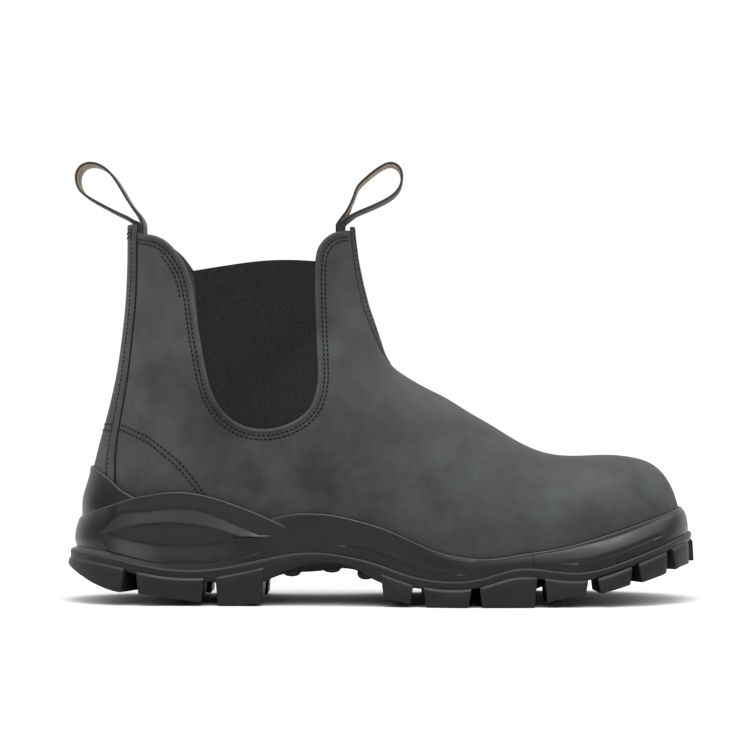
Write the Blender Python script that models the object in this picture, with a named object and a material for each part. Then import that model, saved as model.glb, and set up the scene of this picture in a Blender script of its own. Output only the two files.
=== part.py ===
# A side gore work boot for the right foot, standing on its lugged sole.
# Metres, +Z up. The toe points along +X, the inner (medial) side faces +Y, and Z = 0 is the floor.

import math

import bmesh
import bpy
import numpy as np
from mathutils import Matrix, Vector
from mathutils.bvhtree import BVHTree

# Overall sizes of the boot
LENGTH = 0.305
COLLAR_HEIGHT = 0.1812
INSTEP_HEIGHT = 0.1128
TOE_BOX_HEIGHT = 0.0697
HEEL_SEAT = 0.0325
BALL_SEAT = 0.0170
TOE_SEAT = 0.0362
BALL_WIDTH = 0.1025
HEEL_WIDTH = 0.0725
SHAFT_WIDTH = 0.066
TOE_SWING = 0.0065
SOLE_BALL_WIDTH = 0.1085
SOLE_HEEL_WIDTH = 0.0810

# Walls, overlays and clearances
GAP = 0.0003
UPPER_WALL = 0.0022
GORE_RECESS = 0.0006
STRIP_WALL = 0.0011
BACK_STRIP_WIDTH = 0.030
BACK_STRIP_TUCK = 0.006
FRONT_STRIP_WIDTH = 0.015
LIP_WALL = 0.0019
WING_WALL = 0.0032
INSOLE_WALL = 0.0045
WEBBING_WALL = 0.0012
WEBBING_WIDTH = 0.018
WEBBING_TAIL = 0.016
TAIL_CLEARANCE = 0.0004
OPEN_DROP = 0.004

# Sole sizes
LUG_REACH = 0.0022
LUG_LAND = 0.0036
LUG_TAPER = 0.0013
LUG_DEPTH_INWARD = 0.026
PLATE_WALL = 0.0022
LUG_ROOT = 0.0012
PARTING_DROP = 0.0035
BASE_FLANGE = 0.0018
DISH_LENGTH = 0.088
DISH_HEIGHT = 0.0265
DISH_DEPTH = 0.0018
EYE_LENGTH = 0.066
EYE_HEIGHT = 0.0105
EYE_DEPTH = 0.0009
GROOVE_RADIUS = 0.0008

# How finely the faceted solids are cut
FAN_STEPS = 33
SIDE_STEPS = 9
SOLE_STEPS = 32
EDGE_STEPS = 36
DISH_STEPS = 16
# Points nearer than this are merged after a cut, and faces flatter than this are joined at the end.
CUT_WELD = 3e-6
FLAT_ANGLE = math.radians(0.3)

HEEL_PIVOT = 0.1475 * LENGTH
TOE_PIVOT = 0.8200 * LENGTH

# The last is a fan of sections. Each runs from the front line (toe, instep and shin) to the sole,
# or behind the heel's end to the back line. Lengths are shares of LENGTH, and half widths are shares
# of the width named in the row. A level names the front line's height: 0 is the toe's seat, 1 the
# toe box, 2 the instep's crook and 3 the collar.
FOOT_COLUMNS = "front_x level sole_x size lateral medial crown widest tuck_lateral tuck_medial".split()
FOOT_ROWS = (
    (0.9782, 0.03, 0.9782, BALL_WIDTH, 0.006, 0.006, 2.00, 0.86, 0.02, 0.02),
    (0.9760, 0.17, 0.9756, BALL_WIDTH, 0.085, 0.085, 2.00, 0.86, 0.02, 0.02),
    (0.9695, 0.34, 0.9690, BALL_WIDTH, 0.157, 0.155, 2.05, 0.86, 0.02, 0.02),
    (0.9612, 0.55, 0.9582, BALL_WIDTH, 0.225, 0.220, 2.10, 0.85, 0.02, 0.02),
    (0.9462, 0.762, 0.9418, BALL_WIDTH, 0.288, 0.280, 2.15, 0.83, 0.02, 0.02),
    (0.9232, 0.915, 0.9188, BALL_WIDTH, 0.342, 0.330, 2.20, 0.81, 0.02, 0.02),
    (0.8890, 0.992, 0.8870, BALL_WIDTH, 0.392, 0.377, 2.25, 0.79, 0.03, 0.03),
    (0.8470, 1.008, 0.8470, BALL_WIDTH, 0.436, 0.416, 2.25, 0.77, 0.03, 0.03),
    (0.7940, 1.00, 0.7930, BALL_WIDTH, 0.475, 0.450, 2.20, 0.75, 0.03, 0.03),
    (0.7410, 1.08, 0.7400, BALL_WIDTH, 0.500, 0.476, 2.10, 0.73, 0.04, 0.04),
    (0.6885, 1.29, 0.6820, BALL_WIDTH, 0.512, 0.488, 2.05, 0.72, 0.04, 0.04),
    (0.6360, 1.51, 0.6160, BALL_WIDTH, 0.503, 0.480, 2.00, 0.72, 0.05, 0.06),
    (0.5840, 1.71, 0.5420, BALL_WIDTH, 0.470, 0.438, 1.95, 0.72, 0.06, 0.12),
    (0.5420, 1.88, 0.4600, BALL_WIDTH, 0.430, 0.395, 1.95, 0.72, 0.08, 0.18),
    (0.5155, 2.01, 0.3680, HEEL_WIDTH, 0.558, 0.525, 2.00, 0.70, 0.09, 0.20),
    (0.4974, 2.14, 0.2690, HEEL_WIDTH, 0.524, 0.508, 2.00, 0.68, 0.09, 0.15),
    (0.4859, 2.28, 0.1720, HEEL_WIDTH, 0.510, 0.503, 2.00, 0.64, 0.09, 0.10),
    (0.4764, 2.40, 0.0920, HEEL_WIDTH, 0.503, 0.500, 2.00, 0.60, 0.09, 0.09),
    (0.4724, 2.46, 0.0510, HEEL_WIDTH, 0.502, 0.500, 2.00, 0.58, 0.08, 0.08),
    (0.4689, 2.52, 0.0384, HEEL_WIDTH, 0.500, 0.498, 2.00, 0.56, 0.07, 0.07),
)
# Behind the heel's end, back_z is the back line's height as a share of COLLAR_HEIGHT.
SHAFT_COLUMNS = "front_x level back_z size lateral medial crown widest tuck_lateral tuck_medial".split()
SHAFT_ROWS = (
    (0.4689, 2.52, 0.1813, HEEL_WIDTH, 0.500, 0.498, 2.00, 0.56, 0.07, 0.07),
    (0.4654, 2.585, 0.285, HEEL_WIDTH, 0.496, 0.492, 2.00, 0.54, 0.03, 0.03),
    (0.4619, 2.66, 0.400, HEEL_WIDTH, 0.486, 0.482, 2.00, 0.52, 0.00, 0.00),
    (0.4584, 2.74, 0.525, SHAFT_WIDTH, 0.520, 0.515, 2.00, 0.51, 0.00, 0.00),
    (0.4559, 2.82, 0.650, SHAFT_WIDTH, 0.508, 0.504, 2.00, 0.50, 0.00, 0.00),
    (0.4534, 2.91, 0.785, SHAFT_WIDTH, 0.501, 0.499, 2.00, 0.50, 0.00, 0.00),
    (0.4516, 3.00, 0.920, SHAFT_WIDTH, 0.500, 0.500, 2.00, 0.50, 0.00, 0.00),
    (0.4509, 3.09, 1.050, SHAFT_WIDTH, 0.500, 0.500, 2.00, 0.50, 0.00, 0.00),
)
# The back line of the upper: height as a share of COLLAR_HEIGHT, place as a share of LENGTH.
BACK_LINE = (
    (0.150, 0.039), (0.247, 0.037), (0.302, 0.039), (0.363, 0.046), (0.418, 0.054), (0.467, 0.062),
    (0.533, 0.072), (0.615, 0.082), (0.698, 0.089), (0.775, 0.094), (0.857, 0.097), (0.923, 0.098),
    (1.000, 0.098), (1.080, 0.097),
)
# The seat under the foot, as a mix of the three seat heights: x, heel, ball and toe shares.
SEAT_LINE = (
    (0.03, 1.00, 0.00, 0.00), (0.20, 0.98, 0.02, 0.00), (0.30, 0.88, 0.12, 0.00), (0.40, 0.68, 0.32, 0.00),
    (0.50, 0.36, 0.64, 0.00), (0.57, 0.10, 0.90, 0.00), (0.63, 0.00, 1.00, 0.00), (0.69, 0.00, 0.96, 0.04),
    (0.74, 0.00, 0.84, 0.16), (0.80, 0.00, 0.64, 0.36), (0.87, 0.00, 0.37, 0.63), (0.93, 0.00, 0.15, 0.85),
    (0.98, 0.00, 0.00, 1.00),
)
# Depth of the rounding behind the heel, the ankle and the collar, from the back line forwards.
HEEL_ROUND = 0.042
ANKLE_ROUND = 0.054
COLLAR_ROUND = 0.052
BACK_FULLNESS = 2.15

# The leather's cut edge seen from the side, from the back collar down round the gore and up to the
# front collar: shares of LENGTH and COLLAR_HEIGHT.
LEATHER_EDGE = (
    (0.0500, 0.9990), (0.0918, 0.9970), (0.1040, 0.9840), (0.1150, 0.9755), (0.1400, 0.9650), (0.1630, 0.9460),
    (0.1820, 0.9120), (0.1965, 0.8700), (0.2070, 0.8050), (0.2140, 0.7200), (0.2225, 0.6400), (0.2330, 0.5660),
    (0.2520, 0.5040), (0.2815, 0.4660), (0.3185, 0.4550), (0.3560, 0.4700), (0.3850, 0.5060), (0.3980, 0.5650),
    (0.3985, 0.6500), (0.3960, 0.7400), (0.3945, 0.8300), (0.3955, 0.8960), (0.4010, 0.9350), (0.4100, 0.9560),
    (0.4220, 0.9720), (0.4400, 0.9830), (0.4600, 0.9850), (0.5000, 0.9840),
)
# The edge of the strip over the back seam: height as a share of COLLAR_HEIGHT, half width as a share
# of BACK_STRIP_WIDTH. It spreads towards the sole.
BACK_STRIP_EDGE = (
    (1.010, 0.49), (0.850, 0.50), (0.700, 0.52), (0.580, 0.57), (0.500, 0.64), (0.420, 0.73),
    (0.340, 0.84), (0.240, 0.96),
)
# The narrow strip over the front seam, in the same way: shares of COLLAR_HEIGHT and FRONT_STRIP_WIDTH.
FRONT_STRIP_EDGE = ((1.010, 0.40), (0.900, 0.46), (0.780, 0.50), (0.700, 0.43), (0.655, 0.29), (0.632, 0.11))
FRONT_STRIP_TOP = 0.9955
# The gore's top edge, in the same shares as the leather's.
GORE_TOP = ((0.180, 0.8620), (0.250, 0.8795), (0.330, 0.8960), (0.420, 0.8950))

# The sole's edge at the parting line, measured along rays from a spine: a fan behind the heel's
# pivot, square rays along the side, and a fan ahead of the toe's pivot. Rows give the ray's place
# from heel back (0) to toe tip (1) and its reach as shares of the width named in the row.
SOLE_COLUMNS = "place size lateral medial".split()
SOLE_ROWS = (
    (0.000, SOLE_HEEL_WIDTH, 0.532, 0.532),
    (0.065, SOLE_HEEL_WIDTH, 0.522, 0.522),
    (0.130, SOLE_HEEL_WIDTH, 0.510, 0.508),
    (0.195, SOLE_HEEL_WIDTH, 0.502, 0.498),
    (0.264, SOLE_HEEL_WIDTH, 0.502, 0.490),
    (0.347, SOLE_HEEL_WIDTH, 0.508, 0.472),
    (0.430, SOLE_HEEL_WIDTH, 0.535, 0.470),
    (0.500, SOLE_BALL_WIDTH, 0.438, 0.388),
    (0.569, SOLE_BALL_WIDTH, 0.486, 0.448),
    (0.624, SOLE_BALL_WIDTH, 0.507, 0.482),
    (0.679, SOLE_BALL_WIDTH, 0.512, 0.490),
    (0.735, SOLE_BALL_WIDTH, 0.508, 0.478),
    (0.790, SOLE_BALL_WIDTH, 0.502, 0.462),
    (0.842, SOLE_BALL_WIDTH, 0.490, 0.452),
    (0.921, SOLE_BALL_WIDTH, 0.478, 0.458),
    (1.000, SOLE_BALL_WIDTH, 0.478, 0.478),
)
# Lines along the sole's side: place as a share of LENGTH, height in shares of HEEL_SEAT.
PARTING_LINE = (
    (0.000, 0.778), (0.040, 0.747), (0.090, 0.676), (0.140, 0.574), (0.190, 0.517), (0.230, 0.524),
    (0.300, 0.640), (0.350, 0.737), (0.395, 0.769), (0.440, 0.722), (0.490, 0.615), (0.540, 0.453),
    (0.580, 0.382), (0.630, 0.382), (0.660, 0.442), (0.695, 0.539), (0.725, 0.556), (0.760, 0.519),
    (0.795, 0.493), (0.835, 0.549), (0.880, 0.686), (0.930, 0.849), (0.970, 0.976), (1.000, 1.031),
)
PLATE_LINE = (
    (0.000, 0.560), (0.100, 0.480), (0.200, 0.330), (0.270, 0.330), (0.320, 0.350), (0.345, 0.465),
    (0.366, 0.545), (0.398, 0.610), (0.420, 0.620), (0.443, 0.582), (0.463, 0.500), (0.490, 0.360),
    (0.540, 0.270), (0.620, 0.240), (0.680, 0.330), (0.730, 0.390), (0.790, 0.350), (0.850, 0.470),
    (0.900, 0.620), (0.950, 0.780), (1.000, 0.900),
)
TREAD_LINE = (
    (0.000, 0.540), (0.010, 0.500), (0.024, 0.430), (0.053, 0.300), (0.082, 0.210), (0.104, 0.180),
    (0.120, 0.165), (0.226, 0.045), (0.241, 0.000), (0.265, 0.000), (0.490, 0.120), (0.545, 0.050),
    (0.557, 0.000), (0.737, 0.000), (0.750, 0.095), (0.809, 0.166), (0.830, 0.194), (0.872, 0.286),
    (0.893, 0.338), (0.933, 0.428), (0.950, 0.490), (0.965, 0.535), (1.000, 0.580),
)
WING_TOP = (
    (0.000, 2.016), (0.036, 2.001), (0.050, 1.945), (0.074, 1.813), (0.095, 1.656), (0.117, 1.549),
    (0.150, 1.397), (0.200, 1.214), (0.230, 1.092),
)
HEEL_WAVE_TOP = (
    (0.000, 1.234), (0.033, 1.265), (0.065, 1.387), (0.092, 1.478), (0.117, 1.549), (0.148, 1.606),
    (0.182, 1.637), (0.213, 1.612), (0.240, 1.551), (0.266, 1.474), (0.295, 1.373), (0.325, 1.253),
    (0.355, 1.123), (0.380, 1.011), (0.400, 0.935), (0.430, 0.849),
)
FORE_WAVE_TOP = (
    (0.000, 1.102), (0.200, 1.102), (0.260, 1.113), (0.295, 1.168), (0.325, 1.245), (0.357, 1.316),
    (0.390, 1.331), (0.428, 1.300), (0.463, 1.224), (0.495, 1.138), (0.526, 1.021), (0.556, 0.894),
    (0.590, 0.772), (0.630, 0.701), (0.660, 0.689), (0.700, 0.737), (0.730, 0.778), (0.770, 0.838),
    (0.806, 0.917), (0.840, 1.006), (0.875, 1.104), (0.908, 1.200), (0.940, 1.295), (0.975, 1.377),
    (1.000, 1.397),
)
# How far forward the wing and the heel wave reach, as shares of LENGTH.
WING_END = 0.225
HEEL_WAVE_END = 0.400
# The dish in the heel wave: its middle as shares of LENGTH and HEEL_SEAT, and its slope in degrees.
DISH_PLACE = (0.189, 0.985)
DISH_TILT = 3
# Two moulded grooves on each side of the midsole, in the same shares.
GROOVE_LINES = (
    ((0.418, 0.892), (0.480, 0.812), (0.517, 0.680), (0.554, 0.544), (0.590, 0.483), (0.636, 0.473)),
    ((0.769, 0.640), (0.805, 0.633), (0.839, 0.712), (0.872, 0.808), (0.905, 0.916), (0.945, 1.035)),
)
# Edge lugs of one side: start and end as shares of LENGTH. The last one meets its twin at the toe.
EDGE_LUGS = (
    (0.122, 0.226), (0.243, 0.318), (0.497, 0.546), (0.561, 0.634), (0.646, 0.734),
    (0.745, 0.812), (0.826, 0.879), (0.889, 0.936), (0.946, 0.976),
)
HEEL_LUG_END = 0.104
TOE_LUG_START = 0.9865
# Lugs between the edge rows: centre x, offset from the spine, length and width, as shares of LENGTH.
MIDDLE_LUGS = (
    (0.165, 0.000, 0.060, 0.060), (0.265, 0.000, 0.050, 0.070), (0.585, 0.000, 0.040, 0.075),
    (0.655, -0.038, 0.045, 0.045), (0.655, 0.038, 0.045, 0.045), (0.725, 0.000, 0.045, 0.075),
    (0.795, -0.032, 0.042, 0.040), (0.795, 0.032, 0.042, 0.040), (0.862, 0.000, 0.036, 0.055),
)
MIDDLE_LUG_CORNERS = ((-0.5, -0.35), (-0.25, -0.5), (0.5, -0.35), (0.5, 0.35), (-0.25, 0.5), (-0.5, 0.35))
# Ribs across the arch: place as a share of LENGTH, and the tip's height in shares of HEEL_SEAT. The
# plate bellies down between them round ARCH_MIDDLE, over a stretch of ARCH_SPAN to each side.
ARCH_RIBS = ((0.359, 0.395), (0.421, 0.450), (0.474, 0.350))
ARCH_RIB_LENGTH = 0.0085
ARCH_RIB_WIDTH = 0.060
ARCH_MIDDLE = 0.400
ARCH_SPAN = 0.085
ARCH_BELLY = 0.0045

# The pull loops' side outlines, in metres from the tail on the boot's inner side. Each rises, turns
# over at the top and comes back down over the collar's edge to the second tail.
BACK_LOOP = (
    (0.0000, 0.0000), (-0.0003, 0.0022), (-0.0016, 0.0052), (-0.0038, 0.0086), (-0.0062, 0.0130),
    (-0.0089, 0.0176), (-0.0114, 0.0216), (-0.0143, 0.0253), (-0.0186, 0.0286), (-0.0233, 0.0299),
    (-0.0276, 0.0288), (-0.0302, 0.0252), (-0.0303, 0.0210), (-0.0286, 0.0168), (-0.0255, 0.0140),
    (-0.0205, 0.0109), (-0.0155, 0.0080), (-0.0105, 0.0053), (-0.0065, 0.0033), (-0.0036, 0.0016),
    (-0.0019, 0.0007), (-0.0015, -0.0010),
)
FRONT_LOOP = (
    (0.0000, 0.0000), (0.0015, 0.0026), (0.0035, 0.0063), (0.0046, 0.0100), (0.0060, 0.0144),
    (0.0078, 0.0186), (0.0113, 0.0223), (0.0148, 0.0253), (0.0190, 0.0282), (0.0239, 0.0299),
    (0.0276, 0.0281), (0.0291, 0.0228), (0.0274, 0.0174), (0.0228, 0.0131), (0.0186, 0.0107),
    (0.0140, 0.0084), (0.0095, 0.0063), (0.0060, 0.0042), (0.0036, 0.0022), (0.0019, 0.0006),
    (0.0015, -0.0010),
)
LOOP_STEPS = 25
LOOP_FLAT = 0.014
BACK_CURL = 0.0019
FRONT_CURL = -0.0026

RUBBER = ((0.017, 0.017, 0.019), 0.45)
TREAD = ((0.014, 0.014, 0.015), 0.6)
LEATHER = ((0.060, 0.067, 0.063), 0.75)
ELASTIC = ((0.016, 0.016, 0.017), 0.9)
FOOTBED = ((0.030, 0.030, 0.032), 0.85)
WEBBING = ((0.035, 0.034, 0.033), 0.9)


def spline(places, values, level_end=False):
    """A smooth curve through the values; level_end makes its last stretch run out level."""
    x = np.asarray(places, float)
    y = np.asarray(values, float)
    n = len(x)
    h = np.diff(x)
    rows = np.zeros((n, n))
    right = np.zeros(n)
    rows[0, 0] = rows[-1, -1] = 1.0
    for i in range(1, n - 1):
        rows[i, i - 1 : i + 2] = h[i - 1], 2 * (h[i - 1] + h[i]), h[i]
        right[i] = 6 * ((y[i + 1] - y[i]) / h[i] - (y[i] - y[i - 1]) / h[i - 1])
    if level_end:
        rows[-1, -2:] = h[-1], 2 * h[-1]
        right[-1] = -6 * (y[-1] - y[-2]) / h[-1]
    bend = np.linalg.solve(rows, right)

    def at(place):
        p = min(max(place, x[0]), x[-1])
        i = min(int(np.searchsorted(x, p, side="right")) - 1, n - 2)
        a, b = x[i + 1] - p, p - x[i]
        curve = (bend[i] * a**3 + bend[i + 1] * b**3) / (6 * h[i])
        ends = (y[i] / h[i] - bend[i] * h[i] / 6) * a + (y[i + 1] / h[i] - bend[i + 1] * h[i] / 6) * b
        return float(curve + ends)

    return at


def line(rows, x_size, z_size):
    """A side line read at x, from a table of shares."""
    table = np.array(rows, float)
    return spline(table[:, 0] * x_size, table[:, 1] * z_size)


def straight_line(rows, x_size, z_size):
    table = np.array(rows, float)
    return lambda x: float(np.interp(x, table[:, 0] * x_size, table[:, 1] * z_size))


def smooth(share):
    t = min(max(share, 0.0), 1.0)
    return t * t * (3 - 2 * t)


def bump(place, middle, reach):
    return smooth(1 - abs(place - middle) / reach)


def mix(a, b, share):
    return a + (b - a) * share


# Lines that more than one piece follows
back_x = line(BACK_LINE, COLLAR_HEIGHT, LENGTH)
seat_rows = np.array(SEAT_LINE)
seat_z = spline(seat_rows[:, 0] * LENGTH, seat_rows[:, 1:] @ np.array([HEEL_SEAT, BALL_SEAT, TOE_SEAT]))
parting_z = line(PARTING_LINE, LENGTH, HEEL_SEAT)
plate_z = line(PLATE_LINE, LENGTH, HEEL_SEAT)
tread_z = straight_line(TREAD_LINE, LENGTH, HEEL_SEAT)
wing_top = line(WING_TOP, LENGTH, HEEL_SEAT)
heel_wave_top = line(HEEL_WAVE_TOP, LENGTH, HEEL_SEAT)
fore_wave_top = line(FORE_WAVE_TOP, LENGTH, HEEL_SEAT)


def swing(x):
    """How far the boot's middle line has turned inwards at x. It starts to turn ahead of the arch."""
    return TOE_SWING * smooth((x / LENGTH - 0.45) / 0.52)


def front_height(level):
    shaft = COLLAR_HEIGHT - INSTEP_HEIGHT
    heights = (TOE_SEAT, TOE_BOX_HEIGHT, INSTEP_HEIGHT, COLLAR_HEIGHT, COLLAR_HEIGHT + shaft)
    return float(np.interp(level, range(5), heights))


def section_splines(columns, rows):
    """One spline for each column of a section table, with the half widths and heights in metres."""
    tables = {name: [row[i] for row in rows] for i, name in enumerate(columns)}
    tables["front_x"] = [v * LENGTH for v in tables["front_x"]]
    tables["front_z"] = [front_height(v) for v in tables["level"]]
    for side in ("lateral", "medial"):
        tables[side] = [v * size for v, size in zip(tables[side], tables["size"])]
    if "sole_x" in tables:
        tables["sole_x"] = [v * LENGTH for v in tables["sole_x"]]
    else:
        tables["back_z"] = [v * COLLAR_HEIGHT for v in tables["back_z"]]
    for used in ("size", "level"):
        del tables[used]
    return {name: spline(range(len(rows)), v, level_end=name == "sole_x") for name, v in tables.items()}


foot = section_splines(FOOT_COLUMNS, FOOT_ROWS)
shaft = section_splines(SHAFT_COLUMNS, SHAFT_ROWS)
HEEL_END = len(FOOT_ROWS) - 1
FAN_END = HEEL_END + len(SHAFT_ROWS) - 1


def back_round(z):
    return float(np.interp(z / COLLAR_HEIGHT, (0.25, 0.60, 1.0), (HEEL_ROUND, ANKLE_ROUND, COLLAR_ROUND)))


def last_point(u, angle):
    """A point on the upper's outer face: u runs from the toe (0) over the heel's end to the collar,
    and angle from the front line (0) to the sole or back line (pi), negative on the lateral side."""
    on_foot = u < HEEL_END
    row = foot if on_foot else shaft
    place = u if on_foot else u - HEEL_END
    side = "lateral" if angle < 0 else "medial"
    front_x, front_z = row["front_x"](place), row["front_z"](place)
    if on_foot:
        end_x = row["sole_x"](place)
        end_z = seat_z(end_x)
    else:
        end_z = row["back_z"](place)
        end_x = back_x(end_z)
    t = (1 - math.cos(angle)) / 2
    x, z = mix(front_x, end_x, t), mix(front_z, end_z, t)
    crown, widest = row["crown"](place), row["widest"](place)
    if t < widest:
        arch = (1 - (1 - t / widest) ** crown) ** (1 / crown)
    else:
        arch = 1 - row["tuck_" + side](place) * ((t - widest) / (1 - widest)) ** 2
    inward = min(max((x - back_x(max(z, seat_z(x)))) / back_round(z), 0.0), 1.0)
    rear = (1 - (1 - inward) ** BACK_FULLNESS) ** (1 / BACK_FULLNESS)
    half = row[side](place) * arch * rear
    return np.array((x, swing(x) + math.copysign(half, angle), z))


def last_grid():
    """The last's outer face as rows of points, each row from the lateral sole round the front."""
    us = np.linspace(0, FAN_END, FAN_STEPS + 1)
    us[np.argmin(abs(us - HEEL_END))] = HEEL_END
    angles = np.linspace(-math.pi, math.pi, 2 * SIDE_STEPS + 1)
    angles[0] += 1e-9
    angles[-1] -= 1e-9
    return us, np.array([[last_point(u, a) for a in angles] for u in us])


def grid_normals(us, grid):
    """Outward normals, smoothed over neighbours and across the closed back."""
    along = np.gradient(grid, axis=0)
    around = np.gradient(grid, axis=1)
    closed = us >= HEEL_END
    seam = (grid[closed, 1] - grid[closed, -2]) / 2
    around[closed, 0] = around[closed, -1] = seam
    normals = np.cross(around, along)
    normals[:, 0][closed] = normals[:, -1][closed] = (normals[:, 0] + normals[:, -1])[closed] / 2
    return normals / np.linalg.norm(normals, axis=2, keepdims=True)


FAN_PLACES, LAST_GRID = last_grid()
LAST_NORMALS = grid_normals(FAN_PLACES, LAST_GRID)


def link(name, mesh):
    obj = bpy.data.objects.new(name, mesh)
    bpy.context.scene.collection.objects.link(obj)
    return obj


def closed_mesh(name, points, faces, weld=1e-6):
    """A mesh object from points and faces, with its doubles merged and its normals turned out."""
    work = bmesh.new()
    verts = [work.verts.new(p) for p in points]
    for face in faces:
        ring = [verts[i] for i in dict.fromkeys(face)]
        if len(ring) > 2:
            work.faces.new(ring)
    bmesh.ops.remove_doubles(work, verts=work.verts, dist=weld)
    bmesh.ops.recalc_face_normals(work, faces=work.faces)
    mesh = bpy.data.meshes.new(name)
    work.to_mesh(mesh)
    work.free()
    return link(name, mesh)


def form(name, grow, drop=0.0):
    """The last as a closed solid, grown by grow all round, its sole lowered by drop."""
    grid = LAST_GRID + LAST_NORMALS * grow
    foot_rows = FAN_PLACES <= HEEL_END
    for column in (0, -1):
        for i in np.flatnonzero(foot_rows):
            grid[i, column, 2] = LAST_GRID[i, column, 2] - drop
    rows, columns = grid.shape[:2]
    index = np.arange(rows * columns).reshape(rows, columns)
    closed = np.flatnonzero(FAN_PLACES > HEEL_END)
    index[closed, -1] = index[closed, 0]
    faces = []
    # Every form splits its bent quads along the same diagonals, so that nested forms stay apart.
    for i in range(rows - 1):
        for j in range(columns - 1):
            a, b, c, d = index[i, j], index[i, j + 1], index[i + 1, j + 1], index[i + 1, j]
            faces += [(a, b, c), (a, c, d)] if j < columns // 2 else [(a, b, d), (b, c, d)]
    for i in range(int(foot_rows.sum())):
        faces.append((index[i, -1], index[i, 0], index[i + 1, 0], index[i + 1, -1]))
    faces.append(tuple(index[-1, :-1]))
    faces.append(tuple(index[0]))
    return closed_mesh(name, grid.reshape(-1, 3), faces)


def apply_boolean(target, operation, cutter):
    """Cuts, joins or intersects at once, and removes the cutter."""
    tool = target.modifiers.new(operation.lower(), "BOOLEAN")
    tool.operation = operation
    tool.solver = "EXACT"
    tool.object = cutter
    graph = bpy.context.evaluated_depsgraph_get()
    mesh = bpy.data.meshes.new_from_object(target.evaluated_get(graph))
    # Points that a cut leaves almost together, and bent faces, would spoil the next cut.
    work = bmesh.new()
    work.from_mesh(mesh)
    bmesh.ops.remove_doubles(work, verts=work.verts, dist=CUT_WELD)
    bmesh.ops.dissolve_degenerate(work, edges=work.edges, dist=CUT_WELD)
    bmesh.ops.triangulate(work, faces=work.faces)
    work.to_mesh(mesh)
    work.free()
    target.modifiers.clear()
    target.data = mesh
    bpy.data.objects.remove(cutter)
    return target


def tube(name, rings):
    """A solid from closed rings of points, each joined to the next, with the first and last as its ends."""
    count = len(rings[0])
    points = [p for ring in rings for p in ring]
    faces = [tuple(range(count)), tuple(range(len(points) - 1, len(points) - count - 1, -1))]
    for i in range(len(rings) - 1):
        for j in range(count):
            k = (j + 1) % count
            faces.append((i * count + j, i * count + k, (i + 1) * count + k, (i + 1) * count + j))
    return closed_mesh(name, points, faces)


def side_prism(name, outline, low_y, high_y):
    """A solid cut from a side outline of (x, z) points, standing between two planes across the boot."""
    return tube(name, [[(x, y, z) for x, z in outline] for y in (low_y, high_y)])


def front_prism(name, outline, near_x, far_x):
    """A solid cut from an outline of (y, z) points seen from the toe, standing between two planes."""
    return tube(name, [[(x, y, z) for y, z in outline] for x in (near_x, far_x)])


def both_sides(rows, width, spare=0.0):
    """A ring of (y, z) points from a table of heights and half widths, for a strip on the middle line."""
    half = [(share * width + spare, height * COLLAR_HEIGHT) for height, share in rows]
    return half + [(-y, z) for y, z in reversed(half)]


def sampled(rows, steps):
    """Points on a smooth curve through a table of (x, z) shares, in metres."""
    table = np.array(rows, float) * (LENGTH, COLLAR_HEIGHT)
    reach = np.concatenate([[0], np.cumsum(np.linalg.norm(np.diff(table, axis=0), axis=1))])
    xs, zs = spline(reach, table[:, 0]), spline(reach, table[:, 1])
    return np.array([(xs(s), zs(s)) for s in np.linspace(0, reach[-1], steps + 1)])


def finish(obj, look, shift):
    """Gives a piece its colour, joins its flat faces and moves it with the rest of the boot."""
    colour, roughness = look
    material = bpy.data.materials.new(obj.name)
    material.use_nodes = True
    shader = material.node_tree.nodes["Principled BSDF"]
    shader.inputs["Base Color"].default_value = (*colour, 1)
    shader.inputs["Roughness"].default_value = roughness
    obj.data.materials.clear()
    obj.data.materials.append(material)
    work = bmesh.new()
    work.from_mesh(obj.data)
    bmesh.ops.dissolve_limit(work, angle_limit=FLAT_ANGLE, verts=work.verts, edges=work.edges)
    work.to_mesh(obj.data)
    work.free()
    obj.data.transform(shift)
    for polygon in obj.data.polygons:
        polygon.use_smooth = True
    obj.data.set_sharp_from_angle(angle=math.radians(35))


def make_upper(edge):
    """The leather upper: one hollow wall, open at the collar and under the foot, notched for the gores."""
    upper = form("upper", 0)
    apply_boolean(upper, "DIFFERENCE", form("foot_space", -UPPER_WALL, drop=OPEN_DROP))
    over = [*map(tuple, edge), (LENGTH * 0.5, COLLAR_HEIGHT * 1.2), (LENGTH * 0.05, COLLAR_HEIGHT * 1.2)]
    return apply_boolean(upper, "DIFFERENCE", side_prism("above", over, -LENGTH, LENGTH))


def make_gore(name, edge, low_y, high_y):
    """An elastic panel set edge to edge in the leather's notch, its face a little below the leather's."""
    top = line(GORE_TOP, LENGTH, COLLAR_HEIGHT)
    notch = [p for p in edge if 0.19 * LENGTH < p[0] < 0.41 * LENGTH and p[1] < top(p[0]) + 0.001]
    notch = np.array(notch)
    run = np.gradient(notch, axis=0)
    run /= np.linalg.norm(run, axis=1, keepdims=True)
    inside = notch + np.stack([-run[:, 1], run[:, 0]], axis=1) * GAP
    crest = [(x, top(x)) for x in np.linspace(inside[-1, 0], inside[0, 0], 9)]
    outline = [*map(tuple, inside[1:-1]), *crest]
    gore = form(name, -GORE_RECESS)
    apply_boolean(gore, "DIFFERENCE", form("inside", -UPPER_WALL, drop=OPEN_DROP))
    return apply_boolean(gore, "INTERSECT", side_prism("panel", outline, low_y, high_y))


def strip_shell(name):
    """A layer as thick as a strip over the whole of the leather, a gap away from it."""
    shell = form(name, GAP + STRIP_WALL)
    return apply_boolean(shell, "DIFFERENCE", form("leather", GAP, drop=OPEN_DROP))


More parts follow.
